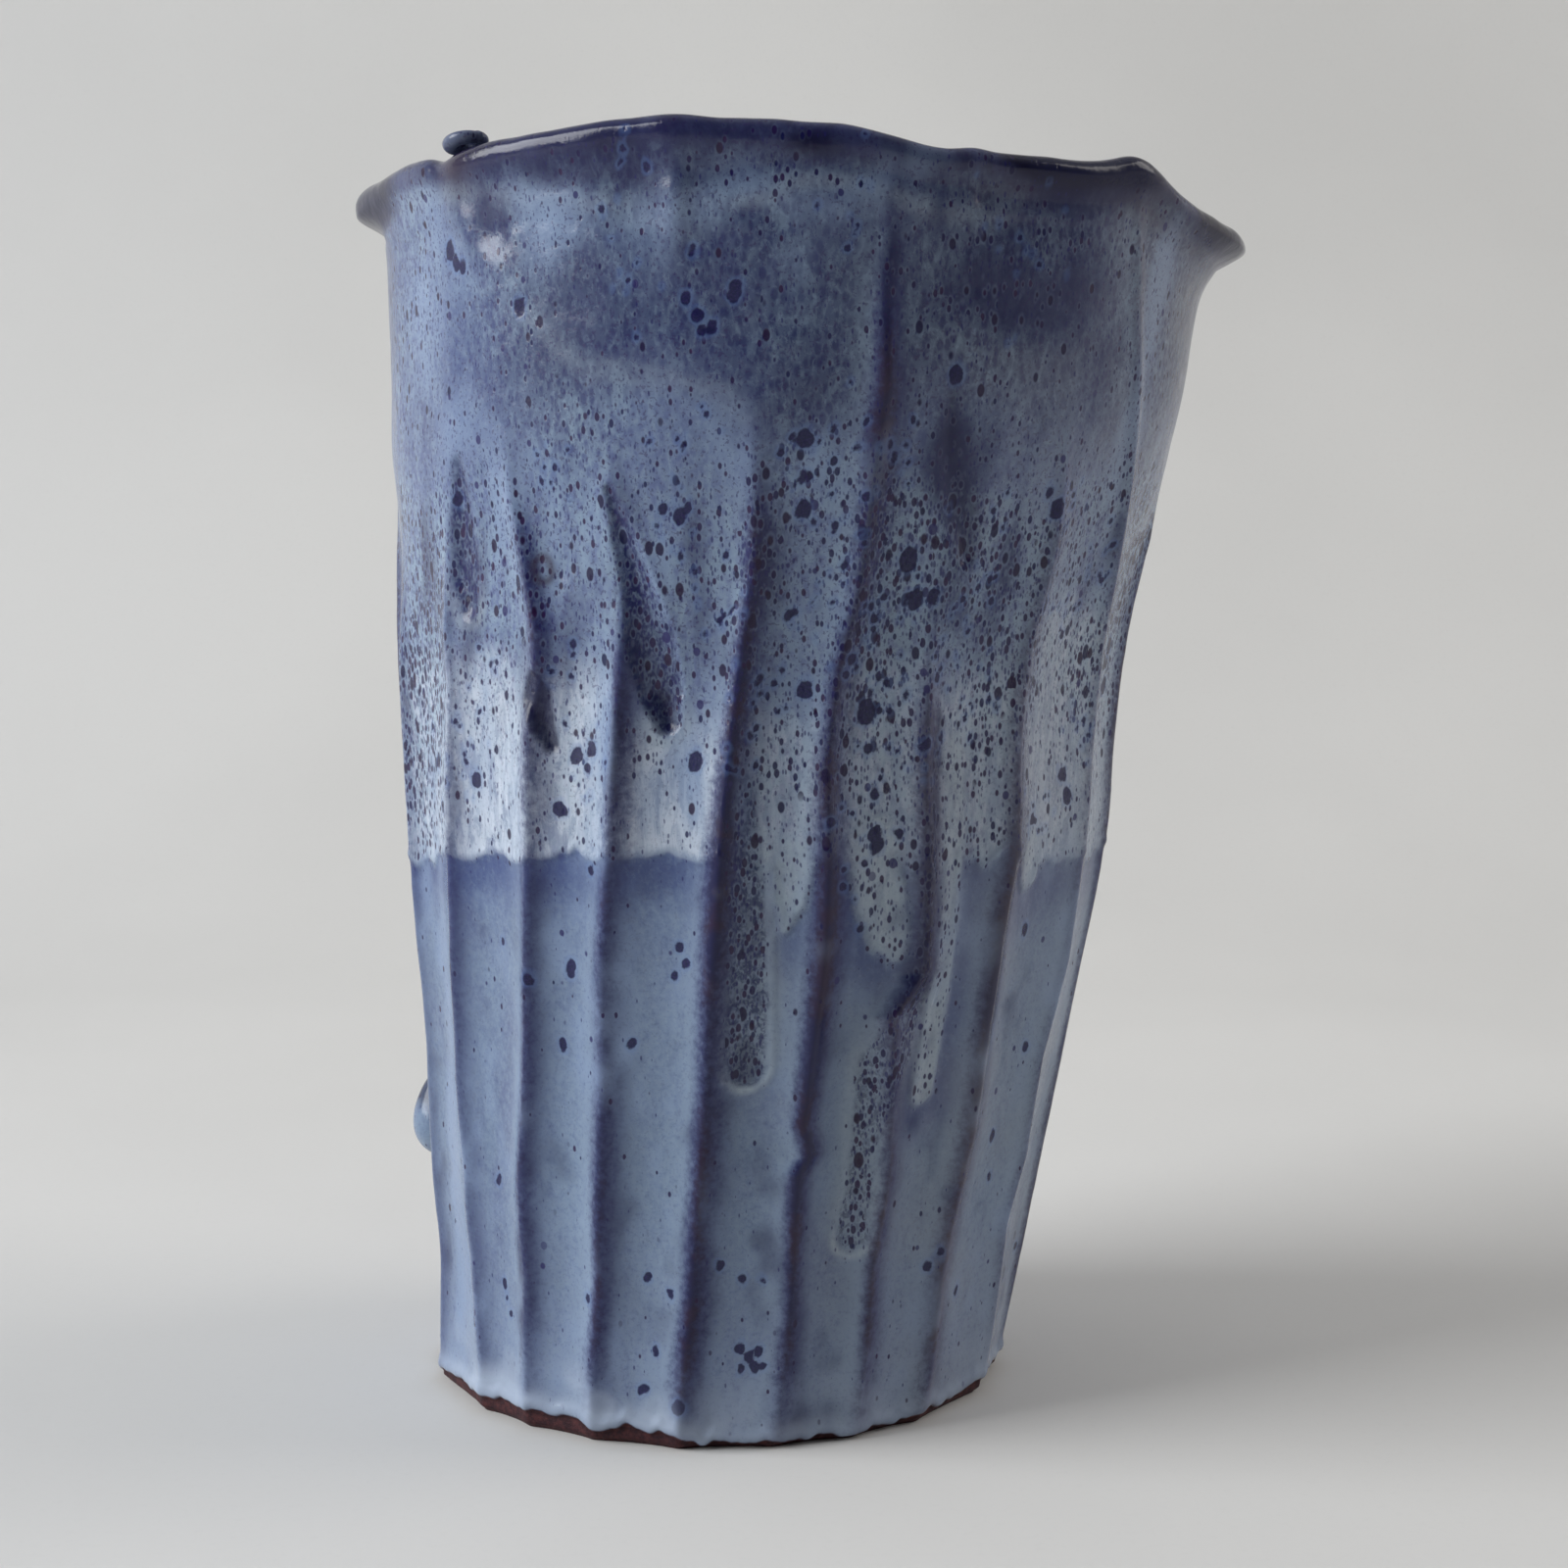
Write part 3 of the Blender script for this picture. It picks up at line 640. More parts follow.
for i in range(N_OUT):
    tt = i / (N_OUT - 1)
    z = SPLIT_TOP + tt * (z_bend - SPLIT_TOP)
    r_wall, _m = fields(pc[None, :], z[None, :])
    blend = sstep(0.25 + 0.3 * el, 1.0 - 0.13 * np.maximum(el, er), tt + 0 * el)
    r = r_wall[0] * (1 - blend) + (flare) * blend
    r = r - (0.55 + 0.5 * bump1(wrap(pc - 34), 0, 13)) * math.sin(math.pi * min(1, max(0, (tt - 0.35) / 0.65))) ** 2
    if i == 0:
        r = r_seat
    rows_r.append(r)
    rows_z.append(z)
for i in range(1, N_ARC + 1):
    a = math.pi * i / (N_ARC + 1)
    rows_r.append(flare - half + half * math.cos(a))
    rows_z.append(z_bend + half * 0.95 * math.sin(a))
r_in_top = flare - thick
r_in_low = inner_radius(pc, pc * 0 + SPLIT_TOP)
for i in range(N_IN):
    tt = i / (N_IN - 1)
    z = z_bend + tt * (SPLIT_TOP - z_bend)
    r = r_in_top * (1 - sstep(0, 1, tt)) + r_in_low * sstep(0, 1, tt)
    r = r - 0.25 * math.sin(math.pi * tt)
    rows_r.append(r)
    rows_z.append(z)
RR = np.array(rows_r)
RZ = np.array(rows_z)
RP = np.broadcast_to(pc, RR.shape)
lip_lat = 0.10 * lattice(RP, RZ + 40, 6, 85) + 0.04 * lattice(RP, RZ + 20, 2.4, 86)
lip_lat[0] = 0
RR = RR + lip_lat * sstep(0, 5, np.arange(len(RR)))[:, None]
RIM = point(RP, RZ, RR)
_, RIM_M = fields(np.array(RP), RZ)
over_lip = np.zeros(RR.shape)
for i in range(len(RR)):
    if i < N_OUT:
        over_lip[i] = sstep(0.62, 1.0, i / (N_OUT - 1))
    else:
        over_lip[i] = 1.0
    if i >= N_OUT + N_ARC:
        over_lip[i] = 1 - 0.6 * (i - N_OUT - N_ARC) / N_IN
RIM_M["lip"] = over_lip
inside = (np.arange(len(RR)) >= N_OUT + N_ARC)[:, None] * np.ones(RR.shape)
for k in ("ridge", "lee", "wind", "spot", "ink", "deep", "brown"):
    RIM_M[k] = RIM_M[k] * (1 - inside)
RIM_M["tone"] = np.where(inside > 0, 0.45, RIM_M["tone"])
EAR_ROWS = np.maximum(sstep(0.40, 0.72, np.arange(len(RR)) / (N_OUT - 1.0))[:, None], sstep(0.05, 0.6, over_lip))
EAR_DARK = np.maximum(er * 0.9, np.maximum(el, bump1(wrap(pc + 80), 0, 12)))[None, :] * EAR_ROWS
RIM_M["brown"] = RIM_M["brown"] * (1 - np.clip(1.4 * EAR_DARK, 0, 1))
RIM_M["ink"] = np.maximum(RIM_M["ink"], (1 - inside) * 1.15 * np.clip(1.4 * EAR_DARK - 0.2, 0, 1))
dark_lip = sstep(24, 31, pc) * sstep(53, 47, pc)
RIM_M["ink"] = np.maximum(RIM_M["ink"], 1.15 * dark_lip[None, :] * sstep(192.4, 194.4, RZ) * (1 - inside))
RIM_M["tone"] = RIM_M["tone"] * (1 - 0.85 * np.clip(EAR_DARK * 1.6, 0, 1))
# normals across wall and rim together, so that the pieces meet without a seam
ALL = np.concatenate([WALL[:-1], RIM], 0)
ALLN = grid_normals(ALL)
WALL_N = ALLN[:len(ROWS)]
RIM_N = ALLN[len(ROWS) - 1:]


# ----------------------------------------------------------------- materials
def lin(r, g, b):
    f = lambda c: (c / 255 / 12.92) if c / 255 <= 0.04045 else ((c / 255 + 0.055) / 1.055) ** 2.4
    return (f(r), f(g), f(b), 1.0)


def gz(r, g, b):
    # glaze colour as it looks in soft light, brought down to the pigment's own value
    c = lin(r, g, b)
    return (c[0] * 0.57, c[1] * 0.63, c[2] * 0.71, 1.0)


class Nodes:
    """Small helper for writing node materials."""

    def __init__(self, name):
        self.mat = bpy.data.materials.new(name)
        self.mat.use_nodes = True
        self.t = self.mat.node_tree
        self.t.nodes.clear()
        self.out = self.t.nodes.new("ShaderNodeOutputMaterial")
        self.bsdf = self.t.nodes.new("ShaderNodeBsdfPrincipled")
        self.t.links.new(self.bsdf.outputs[0], self.out.inputs[0])
        tc = self.t.nodes.new("ShaderNodeTexCoord")
        self.obj = tc.outputs["Object"]

    def put(self, sock, v):
        if isinstance(v, bpy.types.NodeSocket):
            self.t.links.new(v, sock)
        elif v is not None:
            sock.default_value = v

    def m(self, op, a, b=None, c=None, clamp=False):
        n = self.t.nodes.new("ShaderNodeMath")
        n.operation = op
        n.use_clamp = clamp
        for s, v in zip(n.inputs, (a, b, c)):
            self.put(s, v)
        return n.outputs[0]

    def mix(self, fac, a, b, kind="MIX"):
        n = self.t.nodes.new("ShaderNodeMix")
        n.data_type = "RGBA"
        n.blend_type = kind
        n.clamp_factor = True
        self.put(n.inputs["Factor"], fac)
        self.put(n.inputs[6], a)
        self.put(n.inputs[7], b)
        return n.outputs[2]

    def attr(self, name):
        n = self.t.nodes.new("ShaderNodeAttribute")
        n.attribute_name = name
        return n.outputs["Fac"]

    def scaled(self, sx, sy, sz, off=(0, 0, 0)):
        n = self.t.nodes.new("ShaderNodeMapping")
        n.inputs["Scale"].default_value = (sx * 1000, sy * 1000, sz * 1000)
        n.inputs["Location"].default_value = off
        self.t.links.new(self.obj, n.inputs["Vector"])
        return n.outputs[0]

    def noise(self, vec, scale, detail=3.0, rough=0.55, dist=0.0):
        n = self.t.nodes.new("ShaderNodeTexNoise")
        n.inputs["Scale"].default_value = scale
        n.inputs["Detail"].default_value = detail
        n.inputs["Roughness"].default_value = rough
        n.inputs["Distortion"].default_value = dist
        self.t.links.new(vec, n.inputs["Vector"])
        return n.outputs["Fac"]

    def vor(self, vec, scale, rnd=1.0, feature="F1"):
        n = self.t.nodes.new("ShaderNodeTexVoronoi")
        n.feature = feature
        n.inputs["Scale"].default_value = scale
        n.inputs["Randomness"].default_value = rnd
        self.t.links.new(vec, n.inputs["Vector"])
        return n.outputs["Distance"], n.outputs["Color"]

    def rgb(self, col):
        n = self.t.nodes.new("ShaderNodeSeparateColor")
        self.t.links.new(col, n.inputs[0])
        return n.outputs[0], n.outputs[1], n.outputs[2]

    def step(self, v, lo, hi):
        n = self.t.nodes.new("ShaderNodeMapRange")
        n.interpolation_type = "SMOOTHSTEP"
        n.inputs["From Min"].default_value = lo
        n.inputs["From Max"].default_value = hi
        self.put(n.inputs["Value"], v)
        return n.outputs["Result"]

    def ramp(self, v, stops):
        n = self.t.nodes.new("ShaderNodeValToRGB")
        e = n.color_ramp.elements
        e[0].position, e[0].color = stops[0]
        e[1].position, e[1].color = stops[-1]
        for p, c in stops[1:-1]:
            k = e.new(p)
            k.color = c
        self.put(n.inputs[0], v)
        return n.outputs[0]

    def bump(self, height, strength, dist, normal=None):
        n = self.t.nodes.new("ShaderNodeBump")
        n.inputs["Strength"].default_value = strength
        n.inputs["Distance"].default_value = dist
        self.t.links.new(height, n.inputs["Height"])
        if normal is not None:
            self.t.links.new(normal, n.inputs["Normal"])
        return n.outputs[0]


def specks(N, vec, cell, dens, lo, hi, chance, edge=0.05):
    """Round specks: 1 inside. dens scales both how many there are and their size."""
    d, c = N.vor(vec, 1.0 / cell)
    r, g, b = N.rgb(c)
    size = N.m("MULTIPLY_ADD", g, hi - lo, lo)
    size = N.m("MULTIPLY", size, N.m("MULTIPLY_ADD", dens, 0.45, 0.62))
    keep = N.step(N.m("SUBTRACT", N.m("MULTIPLY", dens, chance), r), 0.0, 0.03)
    inside = N.step(N.m("SUBTRACT", d, size), edge, -edge)
    ring = N.step(N.m("SUBTRACT", d, size), edge * 4.5, edge)
    return N.m("MULTIPLY", inside, keep), N.m("MULTIPLY", ring, keep), b


def glaze_material(name):
    N = Nodes(name)
    a = {k: N.attr(k) for k in NAMES}
    vec = N.scaled(1, 1, 1)
    tall = N.scaled(1, 1, 0.58, (3.1, 7.7, 1.3))
    cloud = N.noise(N.scaled(1, 1, 0.5), 0.045, 4, 0.6, 0.6)
    cloud2 = N.noise(N.scaled(1, 1, 0.7, (40, 9, 3)), 0.16, 4, 0.6, 0.4)
    fine = N.noise(vec, 0.9, 5, 0.62)
    grain = N.noise(vec, 3.2, 3, 0.6)
    # base glaze: slate blue, paler at the foot, purple-grey high up
    base = N.ramp(N.m("MULTIPLY_ADD", N.m("SUBTRACT", cloud2, 0.5), 0.05, a["high"]), [
        (0.0, gz(166, 176, 198)), (0.07, gz(152, 164, 188)), (0.20, gz(143, 158, 180)),
        (0.36, gz(142, 156, 180)), (0.44, gz(116, 130, 166)), (0.56, gz(132, 142, 176)),
        (0.68, gz(128, 138, 174)), (0.80, gz(112, 122, 164)), (0.90, gz(104, 112, 154)),
        (1.0, gz(92, 98, 138))])
    base = N.mix(N.m("MULTIPLY", N.step(cloud, 0.52, 0.78), 0.55), base, gz(104, 104, 146))
    base = N.mix(N.m("MULTIPLY", N.step(cloud, 0.45, 0.22), 0.45), base, gz(150, 166, 188))
    base = N.mix(N.m("MULTIPLY", N.step(fine, 0.44, 0.66), 0.34), base, gz(170, 184, 196))
    base = N.mix(N.m("MULTIPLY", N.step(fine, 0.46, 0.30), 0.34), base, gz(92, 104, 148))
    # the deeper blue line just under the second coat
    under = N.m("MULTIPLY", N.step(a["band"], 0.0, 0.44), N.step(a["band"], 0.53, 0.50))
    base = N.mix(N.m("MULTIPLY", under, 0.90), base, gz(84, 98, 146))
    base = N.mix(N.m("MULTIPLY", a["shade"], 0.94), base, gz(58, 64, 104))
    blot = N.noise(N.scaled(1, 1, 0.42, (17, 3, 21)), 0.40, 5, 0.66, 0.9)
    blot2 = N.noise(N.scaled(1, 1, 0.8, (7, 13, 2)), 1.05, 4, 0.6, 0.5)
    base = N.mix(N.m("MULTIPLY", N.step(blot, 0.50, 0.64), N.m("MULTIPLY_ADD", a["dens"], 0.72, 0.02)), base, gz(186, 204, 214))
    base = N.mix(N.m("MULTIPLY", N.step(blot, 0.47, 0.34), N.m("MULTIPLY_ADD", a["dens"], 0.62, 0.10)), base, gz(70, 72, 126))
    base = N.mix(N.m("MULTIPLY", N.step(blot2, 0.50, 0.68), N.m("MULTIPLY_ADD", a["dens"], 0.40, 0.12)), base, gz(172, 190, 204))
    # second coat
    edge_noise = N.m("MULTIPLY", N.m("SUBTRACT", fine, 0.5), 0.05)
    on = N.step(N.m("ADD", a["band"], edge_noise), 0.485, 0.515)
    streaks = N.noise(N.scaled(1, 1, 0.13, (5, 5, 5)), 0.75, 4, 0.65, 0.8)
    milk = N.m("MULTIPLY", a["white"], N.m("MULTIPLY_ADD", N.step(streaks, 0.38, 0.58), 0.30, 0.68), clamp=True)
    milk = N.m("MULTIPLY", milk, N.m("MULTIPLY_ADD", N.step(blot, 0.38, 0.52), 0.55, 0.60), clamp=True)
    milk = N.m("MULTIPLY", milk, on)
    col = N.mix(milk, base, gz(240, 241, 246))
    # teal-grey network between the specks
    netd, netc = N.vor(tall, 0.85)
    net = N.m("MULTIPLY", N.step(netd, 0.30, 0.62), N.m("MULTIPLY", a["dens"], 0.60))
    col = N.mix(net, col, gz(178, 198, 208))
    # pale runs and halos
    pale_f = N.m("MULTIPLY", a["pale"], N.m("MULTIPLY_ADD", N.step(streaks, 0.30, 0.66), 0.30, 0.66), clamp=True)
    col = N.mix(pale_f, col, gz(206, 214, 216))
    # dark windows where the glaze ran thin
    mott = N.m("MULTIPLY", a["mottle"], N.m("MULTIPLY_ADD", N.step(blot2, 0.56, 0.40), 0.62, 0.34), clamp=True)
    col = N.mix(mott, col, gz(66, 76, 110))
    deep_f = N.m("MULTIPLY", a["deep"], N.m("MULTIPLY_ADD", N.step(blot2, 0.60, 0.42), 0.36, 0.60), clamp=True)
    col = N.mix(deep_f, col, gz(34, 38, 92))
    # arrises: glaze breaks to purple-brown on the crest, blue beside it
    rn = N.m("MULTIPLY_ADD", N.m("SUBTRACT", fine, 0.5), 0.80, a["ridge"])
    side = N.m("MULTIPLY", N.step(rn, 0.04, 0.62), 0.80)
    col = N.mix(N.m("MULTIPLY", a["lee"], 0.66), col, gz(62, 70, 116))
    col = N.mix(N.m("MULTIPLY", a["wind"], 0.34), col, gz(182, 196, 210))
    col = N.mix(side, col, gz(52, 54, 108))
    crest = N.m("MULTIPLY", N.step(rn, 0.42, 0.86), 0.92)
    col = N.mix(crest, col, N.mix(N.step(cloud2, 0.42, 0.60), gz(24, 24, 74), gz(50, 26, 60)))
    # the lip: navy and brown where it is thinnest
    lipd = N.m("MULTIPLY", N.m("MULTIPLY", a["lip"], N.step(a["tone"], 0.42, 0.12)), 0.90)
    lipf = N.m("MULTIPLY", N.step(N.m("ADD", a["lip"], N.m("MULTIPLY", N.m("SUBTRACT", cloud2, 0.5), 0.9)), 0.30, 0.95), 0.82)
    lipc = N.mix(N.step(cloud2, 0.42, 0.62), gz(50, 48, 84), gz(92, 96, 134))
    col = N.mix(lipf, col, lipc)
    tn = N.m("ADD", a["tone"], N.m("MULTIPLY", N.m("SUBTRACT", cloud2, 0.5), 0.22))
    up = N.m("MULTIPLY", N.step(tn, 0.52, 0.98), 0.80)
    dn_ = N.m("MULTIPLY", N.step(tn, 0.48, 0.05), 0.88)
    col = N.mix(up, col, gz(164, 180, 206))
    col = N.mix(dn_, col, gz(48, 50, 92))
    dust = N.noise(vec, 1.9, 2, 0.5)
    dustf = N.m("MULTIPLY", N.step(dust, 0.57, 0.66), N.m("MULTIPLY_ADD", N.step(a["high"], 0.42, 0.62), 0.36, 0.14))
    col = N.mix(dustf, col, gz(66, 48, 98))
    # lip band: thin dark glaze, then the lip itself
    lipn = N.m("MULTIPLY", a["lipband"], N.m("MULTIPLY_ADD", N.step(cloud2, 0.35, 0.60), 0.35, 0.75), clamp=True)
    col = N.mix(N.m("MULTIPLY", lipn, 0.93), col, gz(36, 36, 80))
    col = N.mix(lipd, col, gz(22, 14, 40))
    warmf = N.m("MULTIPLY", N.m("MULTIPLY", a["warm"], N.step(a["tone"], 0.15, 0.5)), 0.42)
    col = N.mix(warmf, col, N.mix(0.5, col, gz(176, 164, 150)))
    # specks in three sizes, then the large iron spots
    dn = a["dens"]
    s1, r1, b1 = specks(N, tall, 1.0, dn, 0.20, 0.48, 1.12, 0.07)
    s2, r2, b2 = specks(N, N.scaled(1, 1, 0.6, (9, 2, 5)), 2.2, dn, 0.14, 0.37, 0.80, 0.045)
    s3, r3, b3 = specks(N, N.scaled(1, 1, 0.42, (1, 8, 2)), 0.55, dn, 0.22, 0.46, 1.1, 0.10)
    s4, r4, b4 = specks(N, N.scaled(1, 1, 0.8, (2, 3, 9)), 4.2, N.m("MULTIPLY_ADD", dn, 0.4, 0.30), 0.10, 0.19, 0.7, 0.02)
    ring = N.m("MULTIPLY", N.m("MAXIMUM", r1, r2), N.m("SUBTRACT", 1.0, N.m("MAXIMUM", crest, a["lipband"], clamp=True)), clamp=True)
    col = N.mix(N.m("MULTIPLY", N.m("MULTIPLY", ring, a["dens"]), 0.34), col, gz(170, 184, 206))
    tint1 = N.mix(b1, gz(14, 18, 80), gz(56, 20, 72))
    tint2 = N.mix(b2, gz(12, 14, 70), gz(46, 16, 60))
    col = N.mix(N.m("MULTIPLY", s3, 0.72), col, gz(46, 42, 104))
    col = N.mix(N.m("MULTIPLY", s1, 0.90), col, tint1)
    col = N.mix(N.m("MULTIPLY", s2, 0.92), col, tint2)
    col = N.mix(N.m("MULTIPLY", s4, 0.85), col, gz(52, 44, 104))
    sv = N.m("MULTIPLY_ADD", N.m("SUBTRACT", fine, 0.5), 0.10, a["spot"])
    spot = N.step(sv, 0.485, 0.545)
    halo = N.m("MULTIPLY", N.step(sv, 0.36, 0.49), 0.22)
    col = N.mix(halo, col, gz(120, 150, 206))
    col = N.mix(N.m("MULTIPLY", spot, 0.94), col, N.mix(N.step(grain, 0.4, 0.7), gz(16, 16, 66), gz(44, 30, 92)))
    ink_f = N.m("MULTIPLY", a["ink"], N.m("MULTIPLY_ADD", fine, 0.35, 0.68), clamp=True)
    col = N.mix(ink_f, col, gz(14, 16, 62))
    col = N.mix(N.m("MULTIPLY", a["brown"], 0.75), col, gz(66, 44, 58))
    # foot: pale roll of glaze, then bare clay
    col = N.mix(N.m("MULTIPLY", a["footpale"], 0.85), col, gz(206, 212, 224))
    bare = N.step(N.m("ADD", a["bare"], N.m("MULTIPLY", N.m("SUBTRACT", fine, 0.5), 0.06)), 0.49, 0.52)
    clay = N.mix(N.step(fine, 0.35, 0.7), lin(44, 20, 28), lin(78, 40, 42))
    rimc = N.m("MULTIPLY", N.step(a["bare"], 0.44, 0.50), 0.55)
    col = N.mix(rimc, col, gz(96, 66, 84))
    col = N.mix(bare, col, clay)
    N.put(N.bsdf.inputs["Base Color"], col)
    rough = N.m("MULTIPLY_ADD", N.step(cloud2, 0.3, 0.7), 0.08, 0.17)
    rough = N.m("MULTIPLY_ADD", N.m("MULTIPLY", milk, 0.10), 1.0, rough)
    rough = N.m("SUBTRACT", rough, N.m("MULTIPLY", a["lip"], 0.07))
    rough = N.m("MAXIMUM", rough, N.m("MULTIPLY", bare, 0.78))
    N.put(N.bsdf.inputs["Roughness"], rough)
    N.bsdf.inputs["IOR"].default_value = 1.36
    N.bsdf.inputs["Specular IOR Level"].default_value = 0.5
    N.bsdf.inputs["Coat Weight"].default_value = 0.06
    N.bsdf.inputs["Coat Roughness"].default_value = 0.06
    # small relief: orange peel, specks that sit a little low, sandy clay
    peel = N.noise(vec, 0.33, 3, 0.5)
    h = N.m("MULTIPLY_ADD", peel, 0.55, N.m("MULTIPLY", fine, 0.20))
    h = N.m("SUBTRACT", h, N.m("MULTIPLY", N.m("MAXIMUM", s1, s2), 0.10))
    h = N.m("SUBTRACT", h, N.m("MULTIPLY", spot, 0.16))
    h = N.m("ADD", h, N.m("MULTIPLY", N.m("MULTIPLY", bare, grain), 0.9))
    N.put(N.bsdf.inputs["Normal"], N.bump(h, 0.55, 0.00035))
    return N.mat


def clay_material(name):
    N = Nodes(name)
    vec = N.scaled(1, 1, 1)
    n1 = N.noise(vec, 0.12, 4, 0.6)
    n2 = N.noise(vec, 1.6, 5, 0.65)
    d, c = N.vor(vec, 0.8)
    col = N.mix(N.step(n1, 0.35, 0.7), lin(62, 34, 34), lin(98, 56, 48))
    col = N.mix(N.m("MULTIPLY", N.step(n2, 0.45, 0.75), 0.5), col, lin(120, 78, 64))
    grit = N.m("MULTIPLY", N.step(d, 0.20, 0.12), N.step(N.rgb(c)[0], 0.72, 0.78))
    col = N.mix(N.m("MULTIPLY", grit, 0.8), col, lin(150, 122, 100))
    N.put(N.bsdf.inputs["Base Color"], col)
    N.put(N.bsdf.inputs["Roughness"], N.m("MULTIPLY_ADD", n2, 0.2, 0.68))
    h = N.m("ADD", N.m("MULTIPLY", n2, 0.6), N.m("MULTIPLY", grit, 0.5))
    N.put(N.bsdf.inputs["Normal"], N.bump(h, 0.8, 0.0004))
    return N.mat


def liner_material(name):
    N = Nodes(name)
    vec = N.scaled(1, 1, 1)
    cloud = N.noise(N.scaled(1, 1, 0.6), 0.05, 4, 0.6, 0.6)
    fine = N.noise(vec, 0.8, 5, 0.62)
    rings = N.noise(N.scaled(0.08, 0.08, 1), 0.45, 3, 0.5)
    col = N.mix(N.step(cloud, 0.35, 0.7), gz(96, 106, 146), gz(134, 146, 176))
    col = N.mix(N.m("MULTIPLY", N.step(fine, 0.42, 0.72), 0.35), col, gz(156, 168, 192))
    col = N.mix(N.m("MULTIPLY", N.step(rings, 0.45, 0.75), 0.25), col, gz(82, 90, 136))
    dens = N.m("MULTIPLY_ADD", N.step(cloud, 0.4, 0.6), 0.35, 0.25)
    s1, r1, b1 = specks(N, vec, 1.4, dens, 0.14, 0.36, 0.8)
    s2, r2, b2 = specks(N, N.scaled(1, 1, 0.8, (9, 2, 5)), 3.4, dens, 0.12, 0.28, 0.7, 0.03)
    col = N.mix(N.m("MULTIPLY", s1, 0.85), col, gz(56, 50, 106))
    col = N.mix(N.m("MULTIPLY", s2, 0.9), col, gz(44, 38, 88))
    N.put(N.bsdf.inputs["Base Color"], col)
    N.put(N.bsdf.inputs["Roughness"], N.m("MULTIPLY_ADD", cloud, 0.14, 0.18))
    N.bsdf.inputs["Coat Weight"].default_value = 0.25
    N.bsdf.inputs["Coat Roughness"].default_value = 0.10
    peel = N.noise(vec, 0.30, 3, 0.5)
    N.put(N.bsdf.inputs["Normal"], N.bump(N.m("ADD", peel, N.m("MULTIPLY", rings, 0.8)), 0.5, 0.0004))
    return N.mat


MAT_GLAZE = glaze_material("runny_blue_glaze")
MAT_CLAY = clay_material("bare_red_stoneware")
MAT_LINER = liner_material("inner_blue_glaze")

# -------------------------------------------------------------- build pieces
cuts = [0, int(np.argmin(np.abs(ROWS - 47))), int(np.argmin(np.abs(ROWS - 91.5))),
        int(np.argmin(np.abs(ROWS - 137))), len(ROWS) - 1]
ring_nodes = [("wall_foot_ring", []), ("wall_lower_ring", ["outer_glaze", "glaze_runs"]),
              ("wall_upper_ring", ["wall", "liner_glaze"]), ("wall_shoulder_ring", ["dip_glaze_coat"])]
pieces = {}
for k in range(4):
    i0, i1 = cuts[k], cuts[k + 1]
    outer = WALL[i0:i1 + 1]
    zi = np.linspace(ROWS[i1], max(ROWS[i0], 9.4), 15)
    pz = np.broadcast_to(zi[:, None], (len(zi), NC))
    pp = np.broadcast_to(pc, pz.shape)
    ri = inner_radius(pp, pz)
    inner = point(pp, pz, ri)
    if k == 0:
        seat = point(pc[None, :], np.full((1, NC), 0.15), radius_z(np.full((1, NC), 0.0)) - 3.0)
        inner = np.concatenate([inner, seat], 0)
    grid = np.concatenate([outer, inner], 0)
    n_out, n_in = len(outer), len(inner)
    masks = {key: np.concatenate([WALL_M[key][i0:i1 + 1], np.zeros((n_in, NC))], 0) for key in NAMES}
    ob = make_mesh(ring_nodes[k][0], grid, masks, True, (MAT_GLAZE, MAT_LINER, MAT_CLAY),
                   lambda rw, a=n_out, b=n_in, kk=k: np.where(
                       rw < a - 1, 0, np.where((rw >= a) & (rw < a + b - 1 - (1 if kk == 0 else 0)), 1, 2)))
    inn = grid_normals(inner)
    set_normals(ob, np.concatenate([WALL_N[i0:i1 + 1], inn], 0))
    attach(ob, "root")
    if ring_nodes[k][1]:
        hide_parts(*ring_nodes[k][1])
    pieces[ring_nodes[k][0]] = ob

rim = make_mesh("rim_strip_glazed", RIM, {k: RIM_M[k] for k in NAMES}, True, (MAT_GLAZE, MAT_LINER, MAT_CLAY),
                lambda rw: np.where(rw < N_OUT + N_ARC + 2, 0, np.where(rw < len(RR) - 1, 0, 2)))
set_normals(rim, RIM_N)
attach(rim, "root")
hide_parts("rim_strip", "left_rim_ear", "right_rim_ear")

# floor slab: underside bare, top glazed
sl = []
for rr_, z_ in [(0.5, 0.0), (12, 0.0), (26, 0.0), (38, 0.0), (44.9, 0.05), (45.2, 0.5), (41.6, 9.2), (40.5, 9.55),
                (30, 9.5), (16, 9.35), (0.5, 9.3)]:
    ph = np.arange(0, 360, 1.5)
    sl.append(np.stack([rr_ * np.sin(np.radians(ph)) * MM, -rr_ * np.cos(np.radians(ph)) * MM,
                        np.full(ph.shape, z_ * MM)], -1))
slab = make_mesh("floor_slab_clay", np.array(sl), {}, True, (MAT_CLAY, MAT_LINER),
                 lambda rw: np.where(rw >= 6, 1, 0))
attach(slab, "root")
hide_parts("floor_slab")

# seam coil round the inside corner
cu = np.arange(0, 360, 1.0)
cv = np.arange(0, 360, 15.0)
CU, CV = np.meshgrid(cu, cv)
cr = 4.1 + 0.5 * np.sin(np.radians(CU * 9)) * 0.5 + 0.3 * np.sin(np.radians(CU * 23 + 40)) * 0.5
coilg = np.stack([(0.9 + (41.4 + cr * np.cos(np.radians(CV))) * np.sin(np.radians(CU))) * MM,
                  -(41.4 + cr * np.cos(np.radians(CV))) * np.cos(np.radians(CU)) * MM,
                  (9.4 + cr * 0.9 * np.sin(np.radians(CV))) * MM], -1)
coil = make_mesh("seam_coil_glazed", coilg, {}, True, (MAT_LINER,))
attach(coil, "root")
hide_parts("foot_joint_coil")

